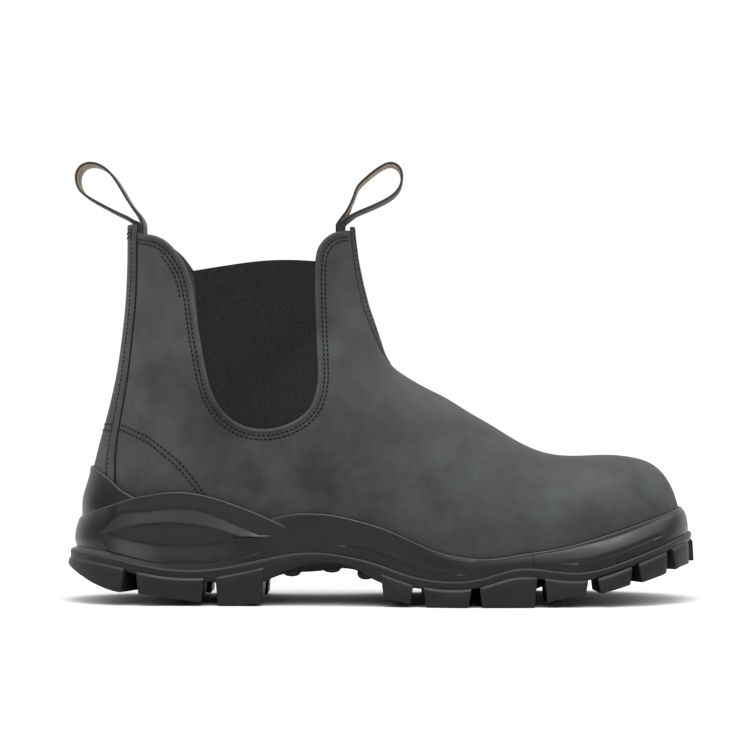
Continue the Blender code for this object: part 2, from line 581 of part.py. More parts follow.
def back_band(name, spare):
    """The region of the strip over the back seam, with room to spare round it."""
    rear, fore = -0.01 * LENGTH, 0.16 * LENGTH
    band = front_prism(name, both_sides(BACK_STRIP_EDGE, BACK_STRIP_WIDTH, spare), rear, fore)
    low = [(x, wing_top(x) - BACK_STRIP_TUCK - spare) for x in np.linspace(fore, rear, 12)]
    side = [(rear, COLLAR_HEIGHT), (fore, COLLAR_HEIGHT), *low]
    return apply_boolean(band, "INTERSECT", side_prism("beside", side, -LENGTH, LENGTH))


def make_back_strip():
    """The strip over the back seam, from the collar down behind the sole's wing."""
    return apply_boolean(strip_shell("back_strip"), "INTERSECT", back_band("back_band", 0))


def make_front_strip():
    """The narrow strip over the front seam, rounded off at the instep's crook."""
    strip = strip_shell("front_strip")
    ring = both_sides(FRONT_STRIP_EDGE, FRONT_STRIP_WIDTH)
    apply_boolean(strip, "INTERSECT", front_prism("front_band", ring, 0.40 * LENGTH, 0.56 * LENGTH))
    top, above = FRONT_STRIP_TOP * COLLAR_HEIGHT, 1.3 * COLLAR_HEIGHT
    over = [(0, top), (LENGTH, top), (LENGTH, above), (0, above)]
    return apply_boolean(strip, "DIFFERENCE", side_prism("above", over, -LENGTH, LENGTH))


# The rays that the sole is measured on
HEEL_FAN = HEEL_PIVOT * math.pi / 2
TOE_FAN = (LENGTH - TOE_PIVOT) * math.pi / 2
SIDE_RUN = HEEL_FAN + TOE_PIVOT - HEEL_PIVOT + TOE_FAN


def sole_reach_splines():
    table = {name: [row[i] for row in SOLE_ROWS] for i, name in enumerate(SOLE_COLUMNS)}
    return {
        side: spline(table["place"], [v * s for v, s in zip(table[side], table["size"])])
        for side in ("lateral", "medial")
    }


sole_reach = sole_reach_splines()


def ray(place):
    """Start, direction and the sole's reach of the ray at place: -1 to 1, from the toe tip along the
    lateral side to the heel's back (0) and along the medial side to the toe tip again."""
    run = abs(place) * SIDE_RUN
    if run < HEEL_FAN:
        x, angle = HEEL_PIVOT, math.pi - run / HEEL_FAN * math.pi / 2
    elif run < SIDE_RUN - TOE_FAN:
        x, angle = HEEL_PIVOT + run - HEEL_FAN, math.pi / 2
    else:
        x, angle = TOE_PIVOT, (SIDE_RUN - run) / TOE_FAN * math.pi / 2
    side = "lateral" if place < 0 else "medial"
    direction = np.array((math.cos(angle), math.copysign(math.sin(angle), place), 0))
    return np.array((x, swing(x), 0)), direction, sole_reach[side](abs(place))


def on_ray(place, reach, z):
    start, direction, _ = ray(place)
    point = start + direction * reach
    point[2] = z
    return point


def edge_x(place, grow=0.0):
    start, direction, reach = ray(place)
    return float((start + direction * (reach + grow))[0])


def place_at(x, sign):
    """The ray whose end at the sole's edge lies at x, on one side."""
    low, high = 0.0, 1.0
    for _ in range(40):
        middle = (low + high) / 2
        low, high = (middle, high) if edge_x(sign * middle) < x else (low, middle)
    return sign * low


def sole_places():
    half = np.linspace(0, 1, SOLE_STEPS + 1)
    return np.concatenate([-half[:0:-1], half[:-1]])


def last_tree():
    grown = form("probe", 0)
    points = [v.co.copy() for v in grown.data.vertices]
    faces = [tuple(p.vertices) for p in grown.data.polygons]
    tree = BVHTree.FromPolygons(points, faces)
    bpy.data.objects.remove(grown)
    return tree


def skin_reach(tree, place, z):
    """How far the leather reaches along a ray at a height."""
    start, direction, reach = ray(place)
    far = Vector(start + direction * reach * 1.6)
    near_seat = seat_z(min(max(edge_x(place), 0.05 * LENGTH), 0.96 * LENGTH)) + 0.0015
    far.z = max(z, near_seat)
    hit, _, _, distance = tree.ray_cast(far, Vector(-direction))
    return reach * 1.6 - distance if hit else reach - LIP_WALL


def lip_on(tree, place, top_of, wall):
    """The lip of a wave on one ray: how far out it lies, and the height its line has there."""
    start, direction, reach = ray(place)
    lip = reach
    for _ in range(4):
        top = top_of(float(start[0] + direction[0] * lip))
        lip = skin_reach(tree, place, top) + wall
    return lip, top


def parting_height(x, share):
    """The parting surface: it follows the side's line at the rim and lies lower inside."""
    inner = min(parting_z(x), seat_z(min(max(x, 0.05 * LENGTH), 0.96 * LENGTH)) - PARTING_DROP)
    return mix(inner, parting_z(x), smooth((share - 0.72) / 0.22))


def plate_bottom(x, share):
    """The underside of the outsole's plate, which bellies down across the arch."""
    belly = ARCH_BELLY * smooth((1 - share) / 0.25) * bump(x / LENGTH, ARCH_MIDDLE, ARCH_SPAN)
    return min(plate_z(x) - belly, parting_height(x, share) - PLATE_WALL)


RADIAL_SHARES = (0.30, 0.72, 0.83, 0.94, 1.0)


def ring_solid(places, sections):
    """A closed solid from rings of points, one ring per ray, joined from each ray to the next."""
    count = len(sections[0])
    points = [p for section in sections for p in section]
    faces = []
    for i in range(len(places)):
        k = (i + 1) % len(places)
        for j in range(count - 1):
            faces.append((i * count + j, i * count + j + 1, k * count + j + 1, k * count + j))
    return points, faces, count


def spine_caps(places, count, first, faces):
    """Closes a ring solid over the spine: the rays of both sides face each other across it."""
    half = len(places) // 2
    for i in range(half):
        a, b = (half + i) % len(places), (half + i + 1) % len(places)
        c, d = (half - i) % len(places), (half - i - 1) % len(places)
        faces.append(tuple(n * count + first for n in (a, b, d, c)))


def core_profile(tree, place):
    """The side of the midsole's body: the flange at the parting line, then the fore wave to its lip."""
    _, _, reach = ray(place)
    x = edge_x(place)
    low = parting_z(x) + GAP
    lip, top = lip_on(tree, place, fore_wave_top, LIP_WALL)
    rear = 1 - smooth((x / LENGTH - 0.27) / 0.12)
    shares = ((0.0, reach), (0.12, reach - 0.0004))
    profile = [on_ray(place, r, mix(low, top, v)) for v, r in shares]
    for v in (0.30, 0.55, 0.78, 0.93, 1.0):
        full = mix(reach - 0.0006, lip, v ** mix(2.6, 0.9, rear))
        profile.append(on_ray(place, full, mix(low, top, v)))
    return profile, lip, top


def make_midsole(tree):
    """The moulded midsole: a cup whose side is three overlapping waves, with a dish and two grooves."""
    places = sole_places()
    sections = []
    for place in places:
        profile, lip, top = core_profile(tree, place)
        _, _, reach = ray(place)
        bottom = []
        for share in RADIAL_SHARES[:-1]:
            point = on_ray(place, reach * share, 0)
            point[2] = parting_height(point[0], share) + GAP
            bottom.append(point)
        over = on_ray(place, lip - LIP_WALL - 0.006, top)
        inside = on_ray(place, reach * RADIAL_SHARES[0], top)
        sections.append([*bottom, *profile, over, inside])
    points, faces, count = ring_solid(places, sections)
    spine_caps(places, count, 0, faces)
    spine_caps(places, count, count - 1, faces)
    midsole = closed_mesh("midsole", points, faces)
    apply_boolean(midsole, "UNION", make_wave("wing", tree, WING_END, wing_profile))
    apply_boolean(midsole, "UNION", make_wave("heel_wave", tree, HEEL_WAVE_END, heel_wave_profile))
    pocket = apply_boolean(form("pocket", 2 * GAP + STRIP_WALL), "INTERSECT", back_band("pocket_band", GAP))
    apply_boolean(midsole, "DIFFERENCE", pocket)
    apply_boolean(midsole, "DIFFERENCE", form("seat", GAP, drop=GAP))
    for sign in (-1, 1):
        apply_boolean(midsole, "DIFFERENCE", make_dish(tree, sign))
        for rows in GROOVE_LINES:
            apply_boolean(midsole, "DIFFERENCE", make_groove(tree, sign, rows))
    return midsole


def wing_reach(tree, place, z):
    """The rear wing's face: thin at its lip and filling out towards the heel's base."""
    _, _, reach = ray(place)
    lip, top = lip_on(tree, place, wing_top, WING_WALL)
    share = min(max((top - z) / (0.70 * HEEL_SEAT), 0.0), 1.0)
    return mix(lip, reach - 0.0046, smooth(1.2 * share))


def wing_profile(tree, place):
    _, top = lip_on(tree, place, wing_top, WING_WALL)
    low = parting_z(edge_x(place)) + 0.004
    heights = [mix(low, top, v) for v in (0.0, 0.35, 0.6, 0.8, 0.93, 1.0)]
    return [on_ray(place, wing_reach(tree, place, z), z) for z in heights]


def heel_wave_face(tree, place):
    """The heel wave on one ray: its foot, its top, how far its lip reaches and how deep its end sinks."""
    _, _, reach = ray(place)
    x = edge_x(place)
    lip, top = lip_on(tree, place, heel_wave_top, LIP_WALL)
    edge = max(lip, wing_reach(tree, place, top) + 0.0006)
    ahead = smooth((x / LENGTH - 0.30) / 0.03)
    edge = mix(edge, max(edge, reach - 0.0022), ahead)
    sink = 0.0026 * smooth((x / LENGTH - 0.335) / 0.055)
    return parting_z(x) + BASE_FLANGE, top, edge, sink


def heel_wave_profile(tree, place):
    _, _, reach = ray(place)
    low, top, edge, sink = heel_wave_face(tree, place)
    points = []
    for v in (0.0, 0.18, 0.42, 0.66, 0.86, 0.96, 1.0):
        full = mix(reach - 0.0010, edge, v**2.4)
        points.append(on_ray(place, full - sink, mix(low, top, v)))
    return points


def make_wave(name, tree, reach_forward, profile_of):
    """A wave as a wall standing round the heel, reaching forward on both sides to a share of LENGTH."""
    end = place_at(reach_forward * LENGTH, 1)
    places = np.linspace(-end, end, 2 * int(SOLE_STEPS * end * 1.3) + 1)
    sections = []
    for place in places:
        profile = profile_of(tree, place)
        start, direction, _ = ray(place)
        inner = np.linalg.norm(profile[-1][:2] - start[:2]) - LIP_WALL - 0.005
        sections.append([on_ray(place, inner, profile[0][2]), *profile, on_ray(place, inner, profile[-1][2])])
    return tube(name, sections)


def heel_wave_reach(tree, place, z):
    """The heel wave's face at a height on one ray."""
    _, _, reach = ray(place)
    low, top, edge, sink = heel_wave_face(tree, place)
    v = min(max((z - low) / (top - low), 0.0), 1.0)
    return mix(reach - 0.0010, edge, v**2.4) - sink


def make_dish(tree, sign):
    """The long oval hollow in the heel wave, with a deeper eye in its middle. It follows the wave's face."""
    rings = (
        (EYE_LENGTH * 0.45, EYE_HEIGHT * 0.45, DISH_DEPTH + EYE_DEPTH),
        (EYE_LENGTH, EYE_HEIGHT, DISH_DEPTH + EYE_DEPTH),
        (EYE_LENGTH + 0.002, EYE_HEIGHT + 0.002, DISH_DEPTH),
        (mix(EYE_LENGTH, DISH_LENGTH, 0.7), mix(EYE_HEIGHT, DISH_HEIGHT, 0.7), DISH_DEPTH * 0.55),
        (DISH_LENGTH, DISH_HEIGHT, 0.0),
        (DISH_LENGTH + 0.001, DISH_HEIGHT + 0.001, -0.004),
        (DISH_LENGTH * 0.6, DISH_HEIGHT * 0.6, -0.004),
    )
    centre_x, centre_z = DISH_PLACE[0] * LENGTH, DISH_PLACE[1] * HEEL_SEAT
    tilt = math.radians(DISH_TILT)

    def at(along, up, depth):
        x = centre_x + along * math.cos(tilt) + up * math.sin(tilt)
        z = centre_z + up * math.cos(tilt) - along * math.sin(tilt)
        place = place_at(x, sign)
        return on_ray(place, heel_wave_reach(tree, place, z) - depth, z)

    steps = DISH_STEPS
    points = [at(0, 0, rings[0][2])]
    for length, height, depth in rings:
        for i in range(steps):
            turn = 2 * math.pi * i / steps
            narrow = 1 - 0.22 * math.cos(turn)
            points.append(at(length / 2 * math.cos(turn), height / 2 * math.sin(turn) * narrow, depth))
    points.append(at(0, 0, -0.004))
    faces = []
    for i in range(steps):
        k = (i + 1) % steps
        faces.append((0, 1 + i, 1 + k))
        for r in range(len(rings) - 1):
            a, b = 1 + r * steps, 1 + (r + 1) * steps
            faces.append((a + i, b + i, b + k, a + k))
        last = 1 + (len(rings) - 1) * steps
        faces.append((last + i, len(points) - 1, last + k))
    return closed_mesh("dish", points, faces)


def make_groove(tree, sign, rows):
    """A thin square channel along a line on the midsole's side."""
    table = np.array(rows, float) * (LENGTH, HEEL_SEAT)
    height = spline(table[:, 0], table[:, 1])
    path = []
    for x in np.linspace(table[0, 0], table[-1, 0], 12):
        place = place_at(x, sign)
        _, _, reach = ray(place)
        z = height(x)
        low = parting_z(x) + GAP
        lip, top = lip_on(tree, place, fore_wave_top, LIP_WALL)
        v = min(max((z - low) / (top - low), 0), 1)
        path.append(on_ray(place, mix(reach - 0.0006, lip, v**2.6) + 0.0002, z))
    path = np.array(path)
    run = np.gradient(path, axis=0)
    run /= np.linalg.norm(run, axis=1, keepdims=True)
    out = np.array([ray(place_at(p[0], sign))[1] for p in path])
    up = np.cross(run, out) * -sign
    r = GROOVE_RADIUS
    return tube("groove", [[p + o * r, p + q * r, p - o * r, p - q * r] for p, o, q in zip(path, out, up)])


def make_outsole():
    """The rubber outsole: a plate under the midsole with its lugs and the ribs under the arch."""
    places = sole_places()
    sections = []
    for place in places:
        _, _, reach = ray(place)
        x = edge_x(place)
        top, bottom = [], []
        for share in RADIAL_SHARES:
            point = on_ray(place, reach * share, 0)
            point[2] = parting_height(point[0], share)
            top.append(point)
        for share in (1.0, 0.72, 0.30):
            point = on_ray(place, (reach - 0.0006) * share, 0)
            point[2] = plate_bottom(point[0], share)
            bottom.append(point)
        band = on_ray(place, reach + 0.0008, mix(parting_z(x), bottom[0][2], 0.25))
        sections.append([*top, band, *bottom])
    points, faces, count = ring_solid(places, sections)
    spine_caps(places, count, 0, faces)
    spine_caps(places, count, count - 1, faces)
    outsole = closed_mesh("outsole", points, faces)
    for lug in all_lugs():
        apply_boolean(outsole, "UNION", lug)
    return outsole


def edge_lug(name, start, end, sign):
    """A lug on the sole's edge: a land under the parting line, slanting sides and a flat tread."""
    places = np.linspace(place_at(start, sign), place_at(end, sign), 3)
    return lug_from_places(name, places, LUG_DEPTH_INWARD)


def lug_from_places(name, places, inward):
    """A lug across several rays. Its sides lean in towards the tread."""
    sections = []
    middle = (places[0] + places[-1]) / 2
    last = len(places) - 1
    for i, place in enumerate(places):
        _, _, reach = ray(place)
        x = edge_x(place, LUG_REACH)
        lean = LUG_TAPER / SIDE_RUN if i in (0, last) else 0
        tread_place = place + math.copysign(lean, middle - place) if lean else place
        land = parting_z(x) - LUG_LAND
        tread = tread_z(min(max(x, 0), LENGTH))
        inner = reach - min(inward, reach * 0.62)
        root = on_ray(place, inner, 0)
        root[2] = min(land, plate_bottom(root[0], inner / reach) + LUG_ROOT)
        sections.append([
            on_ray(place, reach - 0.0004, land + 0.0006),
            on_ray(place, reach + LUG_REACH - 0.0006, land - 0.0012),
            on_ray(tread_place, reach + LUG_REACH, tread),
            on_ray(tread_place, inner + 0.0015, tread),
            root,
        ])
    return tube(name, sections)


def lug_root(x):
    """The height at which a lug or rib on the middle line starts, a little way inside the plate."""
    return plate_bottom(x, RADIAL_SHARES[0]) + LUG_ROOT


def middle_lug(row):
    """A six-sided block between the edge lugs, its sides leaning in towards the tread."""
    x, offset, length, width = (v * LENGTH for v in row)
    y = swing(x) + offset
    rings = []
    for height_at, lean in ((lug_root, 0.0), (tread_z, 2 * LUG_TAPER)):
        ring = [(x + dx * (length - lean), y + dy * (width - lean)) for dx, dy in MIDDLE_LUG_CORNERS]
        rings.append([(px, py, height_at(px)) for px, py in ring])
    return tube("middle_lug", rings)


def arch_rib(place, tip):
    """A rounded rib across the arch, from side to side."""
    x, middle = place * LENGTH, swing(place * LENGTH) - 0.001
    root, low = lug_root(x), tip * HEEL_SEAT
    ring = []
    for along, down in ((-0.5, 0), (-0.42, 0.55), (-0.2, 0.92), (0.2, 1), (0.42, 0.6), (0.5, 0)):
        ring.append((x + along * ARCH_RIB_LENGTH, mix(root, low, down)))
    return side_prism("arch_rib", ring, middle - ARCH_RIB_WIDTH / 2, middle + ARCH_RIB_WIDTH / 2)


def all_lugs():
    """Every lug, each ready to be joined to the plate."""
    lugs = []
    for sign in (-1, 1):
        for start, end in EDGE_LUGS:
            lugs.append(edge_lug("edge_lug", start * LENGTH, end * LENGTH, sign))
    heel = place_at(HEEL_LUG_END * LENGTH, 1)
    lugs.append(lug_from_places("heel_lug", np.linspace(-heel, heel, 9), LUG_DEPTH_INWARD * 0.7))
    toe = place_at(TOE_LUG_START * LENGTH, 1)
    lugs.append(toe_lug(toe))
    lugs += [middle_lug(row) for row in MIDDLE_LUGS]
    lugs += [arch_rib(*row) for row in ARCH_RIBS]
    return lugs


def toe_lug(start):
    """The lug at the toe's tip, across both sides."""
    places = [start, mix(start, 1, 0.5), 1.0, -mix(start, 1, 0.5), -start]
    return lug_from_places("toe_lug", places, LUG_DEPTH_INWARD * 0.6)


def make_insole():
    """The footbed: a slab on the seat, cut to the inside of the upper."""
    rows = LAST_GRID[FAN_PLACES <= HEEL_END][:, 0]
    seat = [(x, z) for x, _, z in rows]
    over = [(x, z + INSOLE_WALL) for x, z in reversed(seat)]
    insole = form("insole", -UPPER_WALL - GAP, drop=OPEN_DROP)
    return apply_boolean(insole, "INTERSECT", side_prism("slab", [*seat, *over], -0.07, 0.07))


def make_loop(name, outline, tail_x, curl):
    """A webbing pull loop. Its two tails lie together against the collar's inside, and it stands up
    as a bow. Curl is how far the webbing's edges turn with the collar's curve."""
    table = np.array(outline)
    reach = np.concatenate([[0], np.cumsum(np.linalg.norm(np.diff(table, axis=0), axis=1))])
    xs, zs = spline(reach, table[:, 0]), spline(reach, table[:, 1])
    bow = [(tail_x + xs(s), COLLAR_HEIGHT + zs(s)) for s in np.linspace(0, reach[-1], LOOP_STEPS)]
    low = COLLAR_HEIGHT - WEBBING_TAIL
    path = np.array([(bow[0][0], low), (bow[0][0], (low + COLLAR_HEIGHT) / 2), *bow, (bow[-1][0], low)])
    run = np.gradient(path, axis=0)
    run[-1] = run[0] * (1, -1)
    run /= np.linalg.norm(run, axis=1, keepdims=True)
    side = np.stack([-run[:, 1], run[:, 0]], axis=1) * WEBBING_WALL / 2
    half = WEBBING_WIDTH / 2
    points = []
    for p, s in zip(path, side):
        turn = curl * smooth(1 - (p[1] - COLLAR_HEIGHT) / LOOP_FLAT)
        for y, k in ((-half, 1), (0, 1), (half, 1), (half, -1), (0, -1), (-half, -1)):
            points.append((p[0] + k * s[0] + (turn if y else 0), y, p[1] + k * s[1]))
    faces = []
    for i in range(len(path) - 1):
        for j in range(6):
            k = (j + 1) % 6
            faces.append((i * 6 + j, i * 6 + k, i * 6 + 6 + k, i * 6 + 6 + j))
    for first in (0, len(points) - 6):
        faces += [(first, first + 1, first + 4, first + 5), (first + 1, first + 2, first + 3, first + 4)]
    return closed_mesh(name, points, faces)


def front_x(z):
    """Where the shaft's front line stands at a height."""
    places = np.linspace(HEEL_END, FAN_END, 60)
    xs = [shaft["front_x"](p - HEEL_END) for p in places]
    zs = [shaft["front_z"](p - HEEL_END) for p in places]
    return float(np.interp(z, zs, xs))


def main():
    for obj in list(bpy.data.objects):
        bpy.data.objects.remove(obj)
    edge = sampled(LEATHER_EDGE, EDGE_STEPS)
    tree = last_tree()
    room = UPPER_WALL + 2 * GAP + 1.5 * WEBBING_WALL + TAIL_CLEARANCE
    back_tail, front_tail = back_x(COLLAR_HEIGHT) + room, front_x(COLLAR_HEIGHT) - room
    pieces = (
        (make_upper(edge), LEATHER),
        (make_gore("gore_lateral", edge, -LENGTH, 0), ELASTIC),
        (make_gore("gore_medial", edge, 0, LENGTH), ELASTIC),
        (make_back_strip(), LEATHER),
        (make_front_strip(), LEATHER),
        (make_insole(), FOOTBED),
        (make_midsole(tree), RUBBER),
        (make_outsole(), TREAD),
        (make_loop("pull_loop_back", BACK_LOOP, back_tail, BACK_CURL), WEBBING),
        (make_loop("pull_loop_front", FRONT_LOOP, front_tail, FRONT_CURL), WEBBING),
    )
    # The origin goes to the middle of the boot's footprint, on the floor.
    corners = np.array([v.co for obj, _ in pieces for v in obj.data.vertices])
    low, high = corners.min(axis=0), corners.max(axis=0)
    shift = Matrix.Translation(Vector((-(low[0] + high[0]) / 2, -(low[1] + high[1]) / 2, -low[2])))
    for obj, look in pieces:
        finish(obj, look, shift)


main()
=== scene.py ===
# %% [markdown]
# # Dressing a side gore work boot
#
# The solids of the boot are packed already: they say where every piece is and how big it is. This
# lesson gives them their looks. The boot is a pull-on work boot of waxed, brushed leather with elastic
# panels at the ankle, webbing pull loops, and a thick moulded sole with deep lugs.
#
# The work goes in the order in which the boot is made: the last first, because everything lies on it,
# then the leather, the elastic, the seams and their stitches, the loops, and the sole from top to tread.

import math

import bmesh
import bpy
import numpy as np
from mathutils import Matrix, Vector
from mathutils.bvhtree import BVHTree


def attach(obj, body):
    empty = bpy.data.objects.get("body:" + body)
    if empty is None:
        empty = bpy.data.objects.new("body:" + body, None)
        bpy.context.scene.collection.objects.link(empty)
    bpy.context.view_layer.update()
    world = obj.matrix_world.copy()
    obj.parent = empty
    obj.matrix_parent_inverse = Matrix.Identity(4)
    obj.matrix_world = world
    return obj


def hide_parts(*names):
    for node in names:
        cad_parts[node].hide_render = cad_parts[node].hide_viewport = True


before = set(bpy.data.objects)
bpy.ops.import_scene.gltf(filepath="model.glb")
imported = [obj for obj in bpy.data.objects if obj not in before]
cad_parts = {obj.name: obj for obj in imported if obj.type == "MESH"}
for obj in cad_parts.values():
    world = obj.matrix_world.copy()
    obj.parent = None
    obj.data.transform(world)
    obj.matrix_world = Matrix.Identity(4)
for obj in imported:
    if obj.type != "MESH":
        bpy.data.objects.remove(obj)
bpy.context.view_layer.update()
print("solids:", ", ".join(sorted(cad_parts)))

# %% [markdown]
# ## Sizes
#
# The dressed pieces have to lie exactly where the solids lie. So the same sizes and the same few
# tables shape them: a fan of sections for the last, and lines along the sole's side. Lengths below
# are measured from the back of the heel, and one shift takes them to the solids' own frame.

# %% Sizes of the boot, in metres
LENGTH = 0.305
COLLAR_HEIGHT = 0.1812
INSTEP_HEIGHT = 0.1128
TOE_BOX_HEIGHT = 0.0697
HEEL_SEAT = 0.0325
BALL_SEAT = 0.0170
TOE_SEAT = 0.0362
BALL_WIDTH = 0.1025
HEEL_WIDTH = 0.0725
SHAFT_WIDTH = 0.066
TOE_SWING = 0.0065
SOLE_BALL_WIDTH = 0.1085
SOLE_HEEL_WIDTH = 0.0810
GAP = 0.0003
UPPER_WALL = 0.0022
GORE_RECESS = 0.0006
STRIP_WALL = 0.0011
BACK_STRIP_WIDTH = 0.030
FRONT_STRIP_WIDTH = 0.015
LIP_WALL = 0.0019
WING_WALL = 0.0032
WEBBING_WALL = 0.0012
WEBBING_WIDTH = 0.018
WEBBING_TAIL = 0.016
TAIL_CLEARANCE = 0.0004
OPEN_DROP = 0.004
LUG_REACH = 0.0022
LUG_LAND = 0.0036
LUG_TAPER = 0.0013
LUG_DEPTH_INWARD = 0.026
PLATE_WALL = 0.0022
LUG_ROOT = 0.0012
PARTING_DROP = 0.0035
BASE_FLANGE = 0.0018
HEEL_PIVOT = 0.1475 * LENGTH
TOE_PIVOT = 0.8200 * LENGTH

# From the heel's back and the heel's middle plane to the solids' frame.
TO_FRAME = np.array((-0.15193, -0.00209, 0.0))
print("boot: %.0f mm long, %.0f mm to the collar" % (1000 * LENGTH, 1000 * COLLAR_HEIGHT))

# %% The tables that shape the last and the leather's edge
# The last is a fan of sections. Each runs from the front line (toe, instep and shin) to the sole,
# or behind the heel's end to the back line. Lengths are shares of LENGTH, and half widths are shares
# of the width named in the row. A level names the front line's height: 0 is the toe's seat, 1 the
# toe box, 2 the instep's crook and 3 the collar.
FOOT_COLUMNS = "front_x level sole_x size lateral medial crown widest tuck_lateral tuck_medial".split()
FOOT_ROWS = (
    (0.9782, 0.03, 0.9782, BALL_WIDTH, 0.006, 0.006, 2.00, 0.86, 0.02, 0.02),
    (0.9760, 0.17, 0.9756, BALL_WIDTH, 0.085, 0.085, 2.00, 0.86, 0.02, 0.02),
    (0.9695, 0.34, 0.9690, BALL_WIDTH, 0.157, 0.155, 2.05, 0.86, 0.02, 0.02),
    (0.9612, 0.55, 0.9582, BALL_WIDTH, 0.225, 0.220, 2.10, 0.85, 0.02, 0.02),
    (0.9462, 0.762, 0.9418, BALL_WIDTH, 0.288, 0.280, 2.15, 0.83, 0.02, 0.02),
    (0.9232, 0.915, 0.9188, BALL_WIDTH, 0.342, 0.330, 2.20, 0.81, 0.02, 0.02),
    (0.8890, 0.992, 0.8870, BALL_WIDTH, 0.392, 0.377, 2.25, 0.79, 0.03, 0.03),
    (0.8470, 1.008, 0.8470, BALL_WIDTH, 0.436, 0.416, 2.25, 0.77, 0.03, 0.03),
    (0.7940, 1.00, 0.7930, BALL_WIDTH, 0.475, 0.450, 2.20, 0.75, 0.03, 0.03),
    (0.7410, 1.08, 0.7400, BALL_WIDTH, 0.500, 0.476, 2.10, 0.73, 0.04, 0.04),
    (0.6885, 1.29, 0.6820, BALL_WIDTH, 0.512, 0.488, 2.05, 0.72, 0.04, 0.04),
    (0.6360, 1.51, 0.6160, BALL_WIDTH, 0.503, 0.480, 2.00, 0.72, 0.05, 0.06),
    (0.5840, 1.71, 0.5420, BALL_WIDTH, 0.470, 0.438, 1.95, 0.72, 0.06, 0.12),
    (0.5420, 1.88, 0.4600, BALL_WIDTH, 0.430, 0.395, 1.95, 0.72, 0.08, 0.18),
    (0.5155, 2.01, 0.3680, HEEL_WIDTH, 0.558, 0.525, 2.00, 0.70, 0.09, 0.20),
    (0.4974, 2.14, 0.2690, HEEL_WIDTH, 0.524, 0.508, 2.00, 0.68, 0.09, 0.15),
    (0.4859, 2.28, 0.1720, HEEL_WIDTH, 0.510, 0.503, 2.00, 0.64, 0.09, 0.10),
    (0.4764, 2.40, 0.0920, HEEL_WIDTH, 0.503, 0.500, 2.00, 0.60, 0.09, 0.09),
    (0.4724, 2.46, 0.0510, HEEL_WIDTH, 0.502, 0.500, 2.00, 0.58, 0.08, 0.08),
    (0.4689, 2.52, 0.0384, HEEL_WIDTH, 0.500, 0.498, 2.00, 0.56, 0.07, 0.07),
)
# Behind the heel's end, back_z is the back line's height as a share of COLLAR_HEIGHT.
SHAFT_COLUMNS = "front_x level back_z size lateral medial crown widest tuck_lateral tuck_medial".split()
SHAFT_ROWS = (
    (0.4689, 2.52, 0.1813, HEEL_WIDTH, 0.500, 0.498, 2.00, 0.56, 0.07, 0.07),
    (0.4654, 2.585, 0.285, HEEL_WIDTH, 0.496, 0.492, 2.00, 0.54, 0.03, 0.03),
    (0.4619, 2.66, 0.400, HEEL_WIDTH, 0.486, 0.482, 2.00, 0.52, 0.00, 0.00),
    (0.4584, 2.74, 0.525, SHAFT_WIDTH, 0.520, 0.515, 2.00, 0.51, 0.00, 0.00),
    (0.4559, 2.82, 0.650, SHAFT_WIDTH, 0.508, 0.504, 2.00, 0.50, 0.00, 0.00),
    (0.4534, 2.91, 0.785, SHAFT_WIDTH, 0.501, 0.499, 2.00, 0.50, 0.00, 0.00),
    (0.4516, 3.00, 0.920, SHAFT_WIDTH, 0.500, 0.500, 2.00, 0.50, 0.00, 0.00),
    (0.4509, 3.09, 1.050, SHAFT_WIDTH, 0.500, 0.500, 2.00, 0.50, 0.00, 0.00),
)
# The back line of the upper: height as a share of COLLAR_HEIGHT, place as a share of LENGTH.
BACK_LINE = (
    (0.150, 0.039), (0.247, 0.037), (0.302, 0.039), (0.363, 0.046), (0.418, 0.054), (0.467, 0.062),
    (0.533, 0.072), (0.615, 0.082), (0.698, 0.089), (0.775, 0.094), (0.857, 0.097), (0.923, 0.098),
    (1.000, 0.098), (1.080, 0.097),
)
# The seat under the foot, as a mix of the three seat heights: x, heel, ball and toe shares.
SEAT_LINE = (
    (0.03, 1.00, 0.00, 0.00), (0.20, 0.98, 0.02, 0.00), (0.30, 0.88, 0.12, 0.00), (0.40, 0.68, 0.32, 0.00),
    (0.50, 0.36, 0.64, 0.00), (0.57, 0.10, 0.90, 0.00), (0.63, 0.00, 1.00, 0.00), (0.69, 0.00, 0.96, 0.04),
    (0.74, 0.00, 0.84, 0.16), (0.80, 0.00, 0.64, 0.36), (0.87, 0.00, 0.37, 0.63), (0.93, 0.00, 0.15, 0.85),
    (0.98, 0.00, 0.00, 1.00),
)
# Depth of the rounding behind the heel, the ankle and the collar, from the back line forwards.
HEEL_ROUND = 0.042
ANKLE_ROUND = 0.054
COLLAR_ROUND = 0.052
BACK_FULLNESS = 2.15
# The leather's cut edge seen from the side, from the back collar down round the gore and up to the
# front collar: shares of LENGTH and COLLAR_HEIGHT.
LEATHER_EDGE = (
    (0.0500, 0.9990), (0.0918, 0.9970), (0.1040, 0.9840), (0.1150, 0.9755), (0.1400, 0.9650),
    (0.1630, 0.9460), (0.1820, 0.9120), (0.1965, 0.8700), (0.2070, 0.8050), (0.2140, 0.7200),
    (0.2225, 0.6400), (0.2330, 0.5660), (0.2520, 0.5040), (0.2815, 0.4660), (0.3185, 0.4550),
    (0.3560, 0.4700), (0.3850, 0.5060), (0.3980, 0.5650), (0.3985, 0.6500), (0.3960, 0.7400),
    (0.3945, 0.8300), (0.3955, 0.8960), (0.4010, 0.9350), (0.4100, 0.9560), (0.4220, 0.9720),
    (0.4400, 0.9830), (0.4600, 0.9850), (0.5000, 0.9840),
)
# The gore's top edge, in the same shares as the leather's.
GORE_TOP = ((0.180, 0.8620), (0.250, 0.8795), (0.330, 0.8960), (0.420, 0.8950))
